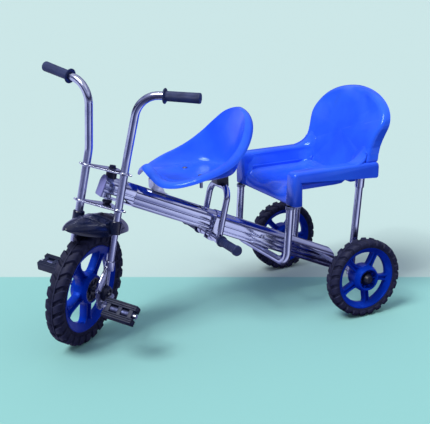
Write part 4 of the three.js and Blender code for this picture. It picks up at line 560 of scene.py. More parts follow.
# Bright nickel-chrome plate on steel tube: mirror-like, with a lilac cast and faint handling marks.
CHROME = Finish(
    "nickel_chrome_plate", "chromed_steel", "#C4C9DA", "#A9AFC8", "#ECEEF8", metallic=1.0, smooth=0.1,
    dull=0.24, patch_mm=35.0, grain_mm=3.0, relief_mm=0.012, wear_and_glint=0.25,
)
# The same plate on the drawn beam: fine draw lines run along it.
DRAWN_CHROME = Finish(
    "drawn_chrome_plate", "chromed_steel", "#C8CDDE", "#A4ABC8", "#F2F4FC", metallic=1.0, smooth=0.07,
    dull=0.2, patch_mm=28.0, grain_mm=1.6, relief_mm=0.02, wear_and_glint=0.3, stretch=(0.12, 1.0, 0.5),
)
# Satin nickel plate of the crank, axle and small brackets: paler and softer than the tubes.
SATIN = Finish(
    "satin_nickel_plate", "chromed_steel", "#C4CAD8", "#9CA2BC", "#EEF0F8", metallic=1.0, smooth=0.24,
    dull=0.42, patch_mm=12.0, grain_mm=1.2, relief_mm=0.02, wear_and_glint=0.4,
)
# Grey zinc of the tubes inside the pedals: darker and rougher than the bolts' zinc.
SLEEVE = Finish(
    "dark_zinc_sleeve", "zinc_plated_steel", "#585E80", "#424866", "#8A90AE", metallic=1.0, smooth=0.45,
    dull=0.65, patch_mm=9.0, grain_mm=1.0, relief_mm=0.03, wear_and_glint=0.3,
)
# Zinc-plated mild steel of the bolts and spacers: dull, slightly blotchy.
ZINC = Finish(
    "zinc_plated_steel_bolt", "zinc_plated_steel", "#8F97AE", "#6E7692", "#C4C9D8", metallic=1.0, smooth=0.3,
    dull=0.48, patch_mm=8.0, grain_mm=1.0, relief_mm=0.03, wear_and_glint=0.4,
)
# Black zinc plate of the head's bolts.
BLACK_ZINC = Finish(
    "black_zinc_plated_bolt", "zinc_plated_steel", "#3B3D5A", "#26273C", "#8286A6", metallic=1.0, smooth=0.3,
    dull=0.5, patch_mm=8.0, grain_mm=1.0, relief_mm=0.03, wear_and_glint=0.5,
)
# Injection-moulded polypropylene seats: saturated blue with a soft gloss and a fine spark-eroded grain; the
# pale sky-blue on their convex edges is partly rub wear and partly a painted edge highlight.
SEAT_BLUE = Finish(
    "moulded_polypropylene_seat", "blue_plastic", "#2E68FA", "#2259F4", "#7AA8FF", ior=1.5, smooth=0.16,
    dull=0.27, patch_mm=90.0, grain_mm=1.2, relief_mm=0.02, wear_and_glint=0.15, coat=0.22, tint="#6FA8FF",
)
# Injection-moulded polypropylene wheels: a deeper blue than the seats.
WHEEL_BLUE = Finish(
    "moulded_polypropylene_wheel", "wheel_blue_plastic", "#0436B4", "#032A96", "#2A66DC", ior=1.45,
    smooth=0.26, dull=0.4, patch_mm=40.0, grain_mm=1.2, relief_mm=0.03, wear_and_glint=0.3, tint="#3F78FF",
)
# Solid EVA rubber tyres: matt blue-black with scuffed lug edges.
TYRE = Finish(
    "lugged_tyre_rubber", "tyre_rubber", "#1A1E3C", "#121630", "#4A4F7A", ior=1.4, smooth=0.6, dull=0.82,
    patch_mm=25.0, grain_mm=0.9, relief_mm=0.12, wear_and_glint=0.6,
)
# Soft PVC grips: matt blue-black with a slight handled sheen.
GRIP = Finish(
    "soft_pvc_grip", "grip_rubber", "#243260", "#1B274C", "#4C5A88", ior=1.42, smooth=0.42, dull=0.6,
    patch_mm=18.0, grain_mm=0.8, relief_mm=0.06, wear_and_glint=0.3,
)
# Grained polypropylene of the mudguard and bushes: black with a soft sheen.
BLACK = Finish(
    "grained_black_polypropylene", "black_plastic", "#0F1834", "#0A1126", "#3E4A70", ior=1.45, smooth=0.3,
    dull=0.46, patch_mm=30.0, grain_mm=1.0, relief_mm=0.05, wear_and_glint=0.3,
)
# The mudguard's polypropylene: the same polymer from a polished mould.
GUARD = Finish(
    "polished_black_polypropylene", "black_plastic", "#101B3A", "#0A122A", "#4A587E", ior=1.5, smooth=0.14,
    dull=0.28, patch_mm=30.0, grain_mm=1.0, relief_mm=0.03, wear_and_glint=0.3,
)
# Pedal blocks: the same polymer, dustier and more scuffed.
PEDAL = Finish(
    "scuffed_pedal_polypropylene", "pedal_plastic", "#0F1B3A", "#0A132A", "#44507A", ior=1.4, smooth=0.45,
    dull=0.65, patch_mm=15.0, grain_mm=0.9, relief_mm=0.08, wear_and_glint=0.6,
)
# The beam's moulded end cap: pale lilac-grey polyethylene, dusty.
END_CAP = Finish(
    "grey_moulded_end_cap", "black_plastic", "#8688C2", "#7A7DB6", "#A6AAD8", ior=1.42, smooth=0.45,
    dull=0.65, patch_mm=12.0, grain_mm=1.0, relief_mm=0.05, wear_and_glint=0.3,
)


# ---------------------------------------------------------------- frames of the sub-assemblies


@dataclass
class Layout:
    """The places of the tricycle's own frames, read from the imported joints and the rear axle."""

    joints: dict[str, dict]
    axle_height: float = 100.0
    beam_slope: float = 24.75
    head_slope: float = 13.5

    @staticmethod
    def place(origin: Vector, x: Vector, y: Vector, z: Vector) -> Matrix:
        """A matrix from a local frame in millimetres to the row's frame in metres."""
        turn = Matrix((x.normalized(), y.normalized(), z.normalized())).transposed().to_4x4()
        return Matrix.Translation(origin) @ turn @ Matrix.Scale(MM, 4)

    def ground(self) -> Matrix:
        """Stands a frame on the ground below the rear axle, +X forward and +Z up.

        Returns:
            Its place.
        """
        low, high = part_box("rear_axle")
        middle = (low + high) / 2
        origin = Vector((middle.x, 0, middle.z - self.axle_height * MM))
        return self.place(origin, Vector((1, 0, 0)), Vector((0, 1, 0)), Vector((0, 0, 1)))

    def beam(self) -> Matrix:
        """The main beam's frame: +X along it from the rear axle, +Z square to it."""
        turn = Matrix.Rotation(-radians(self.beam_slope), 4, "Y")
        return self.ground() @ Matrix.Translation((0, 0, self.axle_height)) @ turn

    def head(self) -> Matrix:
        """Sets a frame in the steering head, straight ahead, with +Z up along its axis.

        Returns:
            Its place.
        """
        joint = self.joints["steer"]
        up, across = Vector(joint["axis"]), Vector((0, 1, 0))
        return self.place(Vector(joint["pos_m"]), across.cross(up), across, up)

    def fork(self) -> Matrix:
        """Sets a frame in the fork as it is steered at rest, with +Y along the front axle.

        Returns:
            Its place.
        """
        joint = self.joints["steer"]
        up, across = Vector(joint["axis"]), Vector(self.joints["front_wheel"]["axis"])
        return self.place(Vector(joint["pos_m"]), across.cross(up), across, up)

    def front_wheel(self) -> Matrix:
        """Sets a frame in the front wheel, level at rest.

        Returns:
            Its place.
        """
        fork = self.fork().to_3x3().normalized().to_4x4()
        turn = fork @ Matrix.Rotation(radians(self.head_slope), 4, "Y")
        return Matrix.Translation(Vector(self.joints["front_wheel"]["pos_m"])) @ turn @ Matrix.Scale(MM, 4)

    def crank(self) -> Matrix:
        """Sets a frame in the crank, with +X along its left arm.

        Returns:
            Its place.
        """
        across = Vector(self.joints["front_wheel"]["axis"])
        middle = Vector(self.joints["front_wheel"]["pos_m"])
        arm = Vector(self.joints["pedal_left"]["pos_m"]) - middle
        arm -= across * arm.dot(across)
        return self.place(middle, arm, across, arm.cross(across))

    def rear_wheel(self, side: str) -> Matrix:
        """Sets a frame in a rear wheel, with +Y out of the tricycle.

        Args:
            side: Left or right.

        Returns:
            Its place.
        """
        joint = self.joints["rear_wheel_" + side]
        sign = 1 if side == "left" else -1
        return Matrix.Translation(Vector(joint["pos_m"])) @ Matrix.Diagonal((MM, sign * MM, MM, 1))


MIRROR = Matrix.Diagonal((1, -1, 1, 1))


def turned_about_y(angle: float) -> Callable[[Space], Space]:
    """A rule that turns a point about the Y axis by an angle in radians."""
    c, s = cos(angle), sin(angle)
    return lambda p: (p[0] * c - p[2] * s, p[1], p[0] * s + p[2] * c)


def sides() -> list[tuple[str, Matrix]]:
    """The left side as drawn and the right side as its mirror image."""
    return [("left", Matrix.Identity(4)), ("right", MIRROR)]


# ---------------------------------------------------------------- wheels


@dataclass
class Tyre:
    """A moulded tyre with slanted lugs, either side of a narrow centre rib, that wrap down its sidewalls."""

    radius: float
    lugs: int
    rim_radius: float
    half_width: float = 21.0
    tread_half: float = 16.0
    bead_half: float = 15.5
    depth: float = 5.0
    side_depth: float = 2.5
    rib_half: float = 1.6
    reach_share: float = 0.72
    sweep_share: float = 0.4
    lug_share: float = 0.56
    flank_share: float = 0.1
    steps: int = 18

    def columns(self) -> list[tuple[Point, Point]]:
        """Draws half of the section, from the crown to the bead.

        Returns:
            Pairs of points (radius, y): where it lies in a groove, and where it lies on a lug.
        """
        r, d, wall = self.radius, self.depth, self.rim_radius
        half, tread, bead = self.half_width, self.tread_half, self.bead_half
        low = half - self.side_depth
        reach = (r - wall) * self.reach_share
        near, far = r - reach * 0.6, r - reach
        foot = wall + (far - wall) * 0.45
        return [
            ((r - 0.7, 0.0), (r - 0.3, 0.0)),
            ((r - 0.8, self.rib_half * 0.8), (r - 0.4, self.rib_half * 0.8)),
            ((r - 2.0, self.rib_half), (r - 1.6, self.rib_half)),
            ((r - d, self.rib_half * 2.0), (r - 1.4, self.rib_half * 1.9)),
            ((r - d, tread * 0.36), (r - 0.2, tread * 0.36)),
            ((r - d, tread * 0.5), (r, tread * 0.5)),
            ((r - d - 0.1, tread * 0.75), (r - 0.2, tread * 0.76)),
            ((r - d - 0.5, tread * 0.92), (r - 0.8, tread * 0.94)),
            ((r - d - 1.4, tread * 1.02), (r - 2.0, tread * 1.08)),
            ((r - d - 3.2, low * 0.955), (r - 4.6, half * 0.945)),
            ((r - d - 5.2, low * 0.985), (r - 7.6, half * 0.99)),
            ((near - 1.0, low), (near, half)),
            ((far + 1.6, low * 0.99), (far + 1.8, half * 0.97)),
            ((far, low * 0.985), (far + 0.2, half * 0.93)),
            ((far - 1.0, low * 0.98), (far - 1.0, low * 0.98)),
            ((foot, low * 0.93), (foot, low * 0.93)),
            ((wall + 1.6, bead + 1.0), (wall + 1.6, bead + 1.0)),
            ((wall + 0.3, bead), (wall + 0.3, bead)),
            ((wall + 0.3, bead * 0.9), (wall + 0.3, bead * 0.9)),
        ]

    def draft(self, place: Matrix) -> Draft:
        """Sweeps the section round the wheel, rising onto each lug.

        Args:
            place: The wheel's place.

        Returns:
            The tyre's draft.
        """
        columns = self.columns()
        section = [(a, b, -1) for a, b in reversed(columns[1:])] + [(a, b, 1) for a, b in columns]
        pitch = 2 * pi / self.lugs
        rings = []
        for i in range(self.lugs * self.steps):
            turn = i * pitch / self.steps
            ring = []
            for (r0, y0), (r1, y1), sign in section:
                share = (i % self.steps) / self.steps
                away = abs((share + 0.5) % 1.0 - 0.5)
                low, high = self.lug_share / 2, self.lug_share / 2 + self.flank_share
                rise = eased(unit((high - away) / (high - low)))
                r, y = mix(r0, r1, rise), mix(y0, y1, rise)
                angle = -pi / 2 + turn + self.sweep_share * pitch * min(y / self.tread_half, 1.15)
                ring.append((r * cos(angle), sign * y, r * sin(angle)))
            rings.append(ring)
        made = Draft(place)
        made.rings(rings, loop=True)
        return made


@dataclass
class SpokedRim:
    """A one-piece moulded wheel: a ring with conical faces, a hub and five spokes with raised edges."""

    outer: float
    inner: float
    width: float
    hub_radius: float
    hub_face: float
    hub_length: float
    recess_radius: float
    recess_depth: float
    bore: float
    spoke_width: float
    spoke_depth: float
    first_spoke: float
    both_faces: bool
    web: float = 6.0
    flange: float = 3.5
    spokes: int = 5
    nose_share: float = 0.36
    ribs: int = 10
    rib_radius: float = 18.6

    def ring(self, made: Draft) -> None:
        """Turns the ring: a rolled bead at the tyre, then a face that leans in to a narrow nose.

        Args:
            made: The draft that it is added to.
        """
        half, nose = self.width / 2, self.width / 2 * self.nose_share
        outer, inner = self.outer, self.inner
        deep = outer - inner
        right = [
            (outer, half - 0.4), (outer - 2.6, half - 0.4), (outer - 3.4, half - 2.0),
            (inner + deep * 0.45, (half + nose) / 2 - 1.0), (inner + 2.0, nose + 0.8), (inner, nose - 0.6),
        ]
        made.turn(Axis.Y, right + [(r, -y) for r, y in reversed(right)], sides=112, edge=0.9)

    def hub(self, made: Draft) -> None:
        """Turns the hub, which swells to its middle, with its recesses and the ribs inside them.

        Args:
            made: The draft that it is added to.
        """
        half, radius, face = self.hub_length / 2, self.hub_radius, self.hub_face
        depth, recess = self.recess_depth, self.recess_radius
        outside = [
            (face - 0.6, -half), (face + 0.6, -half + 1.5), (radius, -half / 2),
            (radius, half / 2), (face + 0.6, half - 1.5), (face - 0.6, half),
        ]
        outer_face = [(recess, half), (recess - 1.0, half - depth), (self.bore, half - depth)]
        if self.both_faces:
            inner_face = [(self.bore, -half + depth), (recess - 1.0, -half + depth), (recess, -half)]
        else:
            inner_face = [(self.bore, -half), (recess * 0.8, -half)]
        made.turn(Axis.Y, inner_face + outside + outer_face, sides=72, edge=1.0)
        if self.both_faces:
            return
        for i in range(self.ribs):
            turn = 2 * pi * i / self.ribs
            start = len(made.points)
            bar = box(self.rib_radius, -0.9, recess, 0.9)
            made.prism(Axis.Y, bar, half - depth - 0.5, half - depth * 0.45, edge=0.4)
            made.moved(turned_about_y(turn), start)

    def spoke(self, made: Draft, angle: float) -> None:
        """Lofts one spoke: a web between two flanges, flaring where it meets hub and ring.

        Args:
            made: The draft that it is added to.
            angle: The spoke's turn about the hub, in degrees.
        """
        half, deep, web = self.spoke_width / 2, self.spoke_depth / 2, self.web / 2
        f = self.flange
        right = [(half, deep), (half - f, deep), (half - f - 0.6, web), (0.0, web * 0.8)]
        outline = right + [(-u, v) for u, v in reversed(right[:-1])]
        outline += [(-u, -v) for u, v in right] + [(u, -v) for u, v in reversed(right[:-1])]
        outline = fillet(outline, 0.9, steps=2)
        low, high = self.hub_radius - 3.0, self.inner + 3.0
        turn = radians(angle)
        rings = []
        for i in range(15):
            share = i / 14
            along = mix(low, high, share)
            ends = max(0.0, 1 - share / 0.22) ** 2 * 0.45 + max(0.0, (share - 0.72) / 0.28) ** 2 * 0.6
            ring = []
            for u, v in outline:
                wide = u * (1 + ends)
                x = along * cos(turn) - wide * sin(turn)
                ring.append((x, v, along * sin(turn) + wide * cos(turn)))
            rings.append(ring)
        made.rings(rings)

    def draft(self, place: Matrix) -> Draft:
        """Builds the whole moulded wheel.

        Args:
            place: The wheel's place.

        Returns:
            The wheel's draft.
        """
        made = Draft(place)
        self.ring(made)
        self.hub(made)
        for i in range(self.spokes):
            self.spoke(made, self.first_spoke + i * 360 / self.spokes)
        return made


@dataclass
class RearWheels:
    """Both rear wheels, their axle, caps and spacers."""

    layout: Layout
    track: float = 404.8
    axle_radius: float = 6.0
    cap_radius: float = 18.0
    cap_length: float = 20.0
    spacer_inner: float = 151.8
    spacer_bore: float = 6.4
    spacer_radius: float = 10.1
    gap: float = 0.3
    tyre: Tyre = field(default_factory=lambda: Tyre(100.0, 24, 80.0, side_depth=3.2))
    rim: SpokedRim = field(
        default_factory=lambda: SpokedRim(80, 66, 31, 34, 28.5, 52, 25, 16, 6.6, 14, 16, -25.6, False)
    )

    def cap(self, made: Draft) -> None:
        """Turns the black cone over the axle's end, in the hub's recess.

        Args:
            made: The draft that it is added to.
        """
        face = self.track / 2 + self.rim.hub_length / 2 - self.rim.recess_depth + self.gap
        top = face + self.cap_length
        r = self.cap_radius
        profile = [
            (0, face + 1), (r, face), (r, face + 3), (r * 0.84, face + 4.5), (r * 0.76, face + 11),
            (r * 0.5, top - 1), (r * 0.3, top), (0, top),
        ]
        made.turn(Axis.Y, profile, sides=48, edge=1.0, at=(0, 0, self.layout.axle_height))

    def build(self) -> None:
        """Builds the wheels and what carries them."""
        ground, height = self.layout.ground(), self.layout.axle_height
        for side, mirror in sides():
            place, body = self.layout.rear_wheel(side), "rear_wheel_" + side
            tyre, rim = "rear_tyre_" + side, "rear_rim_" + side
            self.tyre.draft(place).piece(tyre, "lugged", TYRE, body)
            self.rim.draft(place).piece(rim, "moulded", WHEEL_BLUE, body)
            cap = Draft(ground @ mirror)
            self.cap(cap)
            cap.piece("axle_cap_" + side, "moulded", BLACK)
            spacer = Draft(ground @ mirror)
            bore, radius, inner = self.spacer_bore, self.spacer_radius, self.spacer_inner
            outer = self.track / 2 - self.rim.hub_length / 2 - self.gap
            spacer.turn(Axis.Y, box(bore, inner, radius, outer), sides=40, at=(0, 0, height))
            spacer.piece("axle_spacer_" + side, "turned", ZINC)
        end = self.track / 2 + self.rim.hub_length / 2 - self.rim.recess_depth + self.cap_length - 3
        axle = Draft(ground)
        axle.tube(Route([(0, -end, height), (0, end, height)], []), self.axle_radius, sides=36)
        axle.piece("rear_axle", "rod", SATIN)


@dataclass
class FrontWheel:
    """The driven front wheel with its hub inserts and crank."""

    layout: Layout
    insert_radius: float = 29.5
    insert_length: float = 9.0
    crank_radius: float = 5.75
    throw: float = 70.0
    arm_inner: float = 73.0
    arm_outer: float = 91.0
    spindle_end: float = 178.0
    crank_bend: float = 9.0
    insert_ribs: int = 8
    tyre: Tyre = field(default_factory=lambda: Tyre(140.4, 28, 107.0, depth=6.0, side_depth=4.2))
    rim: SpokedRim = field(
        default_factory=lambda: SpokedRim(107, 86, 32, 37, 34, 44, 29.9, 9.3, 6.2, 21, 20, -18, True)
    )

    def insert(self, made: Draft) -> None:
        """Turns the dished black disc that keys the crank into the hub, with its ribs.

        Args:
            made: The draft that it is added to.
        """
        outer = self.rim.hub_length / 2
        inner = outer - self.insert_length
        r = self.insert_radius
        profile = [
            (6.2, inner), (r, inner), (r, outer - 1.75), (r - 3.5, outer - 1.75), (r - 6.0, inner + 3.5),
            (13.5, inner + 3.5), (12.5, outer - 1.0), (6.2, outer - 1.0),
        ]
        made.turn(Axis.Y, profile, sides=64, edge=0.8)
        rib = box(12, -1.1, r - 4.5, 1.1)
        for i in range(self.insert_ribs):
            start = len(made.points)
            made.prism(Axis.Y, rib, inner + 1, outer - 3.5, edge=0.5)
            made.moved(turned_about_y(2 * pi * i / self.insert_ribs), start)

    def build(self) -> None:
        """Builds the wheel and its drive."""
        place = self.layout.front_wheel()
        self.tyre.draft(place).piece("front_tyre", "lugged", TYRE, "front_wheel")
        self.rim.draft(place).piece("front_rim", "moulded", WHEEL_BLUE, "front_wheel")
        for side, mirror in sides():
            disc = Draft(place @ mirror)
            self.insert(disc)
            disc.piece("hub_insert_" + side, "ribbed", BLACK, "front_wheel")
        crank = Draft(self.layout.crank())
        half = [(0, self.arm_inner, 0), (self.throw, self.arm_outer, 0), (self.throw, self.spindle_end, 0)]
        corners = [(-x, -y, z) for x, y, z in reversed(half)] + half
        crank.tube(Route(corners, [self.crank_bend] * 4), self.crank_radius, sides=24)
        crank.piece("crank_axle", "forged", SATIN, "front_wheel")


@dataclass
class Pedals:
    """Two block pedals, each free to turn on a grey sleeve at the end of the crank."""

    layout: Layout
    tilts: tuple[float, float] = (51.0, 20.0)
    inner: float = 98.0
    length: float = 77.0
    width: float = 45.0
    height: float = 24.0
    bar_width: float = 13.5
    bridge_height: float = 20.0
    sleeve_radius: float = 8.7
    notch: float = 5.0
    bridges: tuple[float, ...] = (0.12, 0.5, 0.86)
    bridge_half: float = 5.0

    def place(self, side: str, tilt: float) -> Matrix:
        """Sets a frame in a pedal, with +Y out along its spindle.

        Args:
            side: Left or right.
            tilt: The pedal's turn from the crank, in degrees.

        Returns:
            Its place.
        """
        crank = self.layout.crank()
        origin = Vector(self.layout.joints["pedal_" + side]["pos_m"])
        turn = crank.to_3x3().normalized().to_4x4() @ Matrix.Rotation(radians(tilt), 4, "Y")
        made = Matrix.Translation(origin) @ turn @ Matrix.Scale(MM, 4)
        return made if side == "left" else made @ MIRROR

    def bar(self, made: Draft, sign: float) -> None:
        """Draws one tread bar, grooved along its length above and below, with a bevelled outer edge.

        Args:
            made: The draft that it is added to.
            sign: 1 for the bar ahead of the spindle, -1 for the one behind.
        """
        inner, outer, top = self.width / 2 - self.bar_width, self.width / 2, self.height / 2
        step = self.bar_width / 10
        upper = [(inner, top - 1.0), (inner + 0.5 * step, top)]
        for k in range(2):
            x = inner + (2.0 + 3.6 * k) * step
            upper += [(x, top), (x + 0.4 * step, top - 2), (x + 1.4 * step, top - 2), (x + 1.8 * step, top)]
        upper += [(outer - 1.4 * step, top), (outer - 0.4 * step, top - 1.4), (outer, top / 2)]
        outline = upper + [(x, -z) for x, z in reversed(upper)]
        outline = [(sign * x, z) for x, z in outline]
        made.prism(Axis.Y, outline, self.inner, self.inner + self.length, edge=1.2, corner=0.5)

    def build(self) -> None:
        """Builds both pedals."""
        for (side, _), tilt in zip(sides(), self.tilts):
            place = self.place(side, tilt)
            block = Draft(place)
            self.bar(block, 1)
            self.bar(block, -1)
            reach, tall = self.width / 2 - self.bar_width / 2, self.bridge_height / 2
            outline = box(-reach, -tall, reach, tall)
            for share in self.bridges:
                low = self.inner + share * self.length - self.bridge_half
                block.prism(Axis.Y, outline, low, low + 2 * self.bridge_half, edge=0.8, corner=1.0)
            body, tube = "pedal_" + side, "pedal_sleeve_" + side
            block.piece(body, "block", PEDAL, body)
            sleeve = Draft(place)
            low, high = self.inner, self.inner + self.length - self.notch
            r = self.sleeve_radius
            sleeve.turn(Axis.Y, box(6.1, low, r, high), sides=32)
            sleeve.piece(tube, "tube", SLEEVE, body)


# ---------------------------------------------------------------- main beam and its tubes


@dataclass
class MainBeam:
    """The sloping drawn beam: a round crown over grooved sides, notched below at its front."""

    layout: Layout
    width: float = 40.0
    height: float = 52.0
    rear: float = -38.0
    front: float = 664.0
    wall: float = 2.0
    notch: tuple[float, float] = (584.0, 655.0)
    web_depth: float = 38.0
    strap: float = 3.0
    grooves: tuple[Space, ...] = ((27.0, 4.0, 3.0), (41.0, 3.0, 1.5))
    heel_round: Point = (15.0, 9.0)
    cap_gap: float = 0.3
    bolt_x: float = 208.0
    bolt_radius: float = 5.5
    bolt_head: Point = (20.3, 23.8)

    def section(self, low: float) -> list[Point]:
        """Draws the section from the crown down.

        Args:
            low: Where it ends, above the beam's middle.

        Returns:
            Its outline in (y, h), with the grooves in its sides.
        """
        half, crown = self.width / 2, self.height / 2
        right: list[Point] = []
        for down, tall, deep in self.grooves:
            top, end = crown - down, crown - down - tall
            if end > low + 1:
                right += [(half, top), (half - deep, top - 0.8), (half - deep, end + 0.8), (half, end)]
        right += [(half, low + 2.5), (half - 2.5, low)]
        left = [(-y, h) for y, h in reversed(right)]
        return arc((0, crown - self.width / 2), half, 180, 0, 24) + right + left

    def build(self) -> None:
        """Builds the beam, its end cap and its side bolt."""
        place = self.layout.beam()
        crown = self.height / 2
        web = crown - self.web_depth - self.wall
        half, (notch, face), foot = self.width / 2, self.notch, -crown
        made = Draft(place)
        made.prism(Axis.X, fillet(self.section(foot), 0.6, 2), self.rear - 30, notch, edge=0.4)
        drift = tan(radians(self.layout.beam_slope))

        def trim(p: Space) -> Space:
            """Cuts the beam's rear end upright and rounds its upper corner.

            Args:
                p: A point of the beam.

            Returns:
                Where it moves to.
            """
            x, y, h = p
            if x > self.rear + 40:
                return p
            depth, back = self.heel_round
            down = max(0.0, h - (crown - depth)) / depth
            return (max(x, self.rear + h * drift + back * down**2), y, h)

        made.moved(trim)
        made.prism(Axis.X, fillet(self.section(web), 0.6, 2), notch - 2, self.front, edge=0.4)
        lug = [(half, web + 0.5), (half, foot + 2), (half - 2.5, foot)]
        lug = [(-y, h) for y, h in lug] + lug[::-1]
        made.prism(Axis.X, lug, face, self.front, edge=0.4)
        gusset = [(notch - 2, web), (notch + 20, web), (notch, foot + 3), (notch - 2, foot + 3)]
        for y in (-19.9, 17.9):
            made.prism(Axis.Y, gusset, y, y + 2, edge=0.2)
        strap = box(1 - half, foot, half - 1, foot + self.strap)
        made.prism(Axis.X, strap, notch - 4, self.front, edge=0.3)
        made.piece("main_beam", "drawn", DRAWN_CHROME)
        cap = Draft(place)
        outline = arc((0, crown - half), half, 180, 0, 24)
        outline += [(half, foot + 3), (half - 3, foot), (3 - half, foot), (-half, foot + 3)]
        cap.prism(Axis.X, outline, self.front + self.cap_gap, self.front + 3, edge=1.0)
        cap.piece("beam_end_cap", "moulded", END_CAP)
        bolt = Draft(place)
        corners = regular(self.bolt_radius, 6, (self.bolt_x, 0.0))
        bolt.prism(Axis.Y, corners, *self.bolt_head, edge=0.8)
        bolt.piece("beam_bolt", "hex", SATIN)


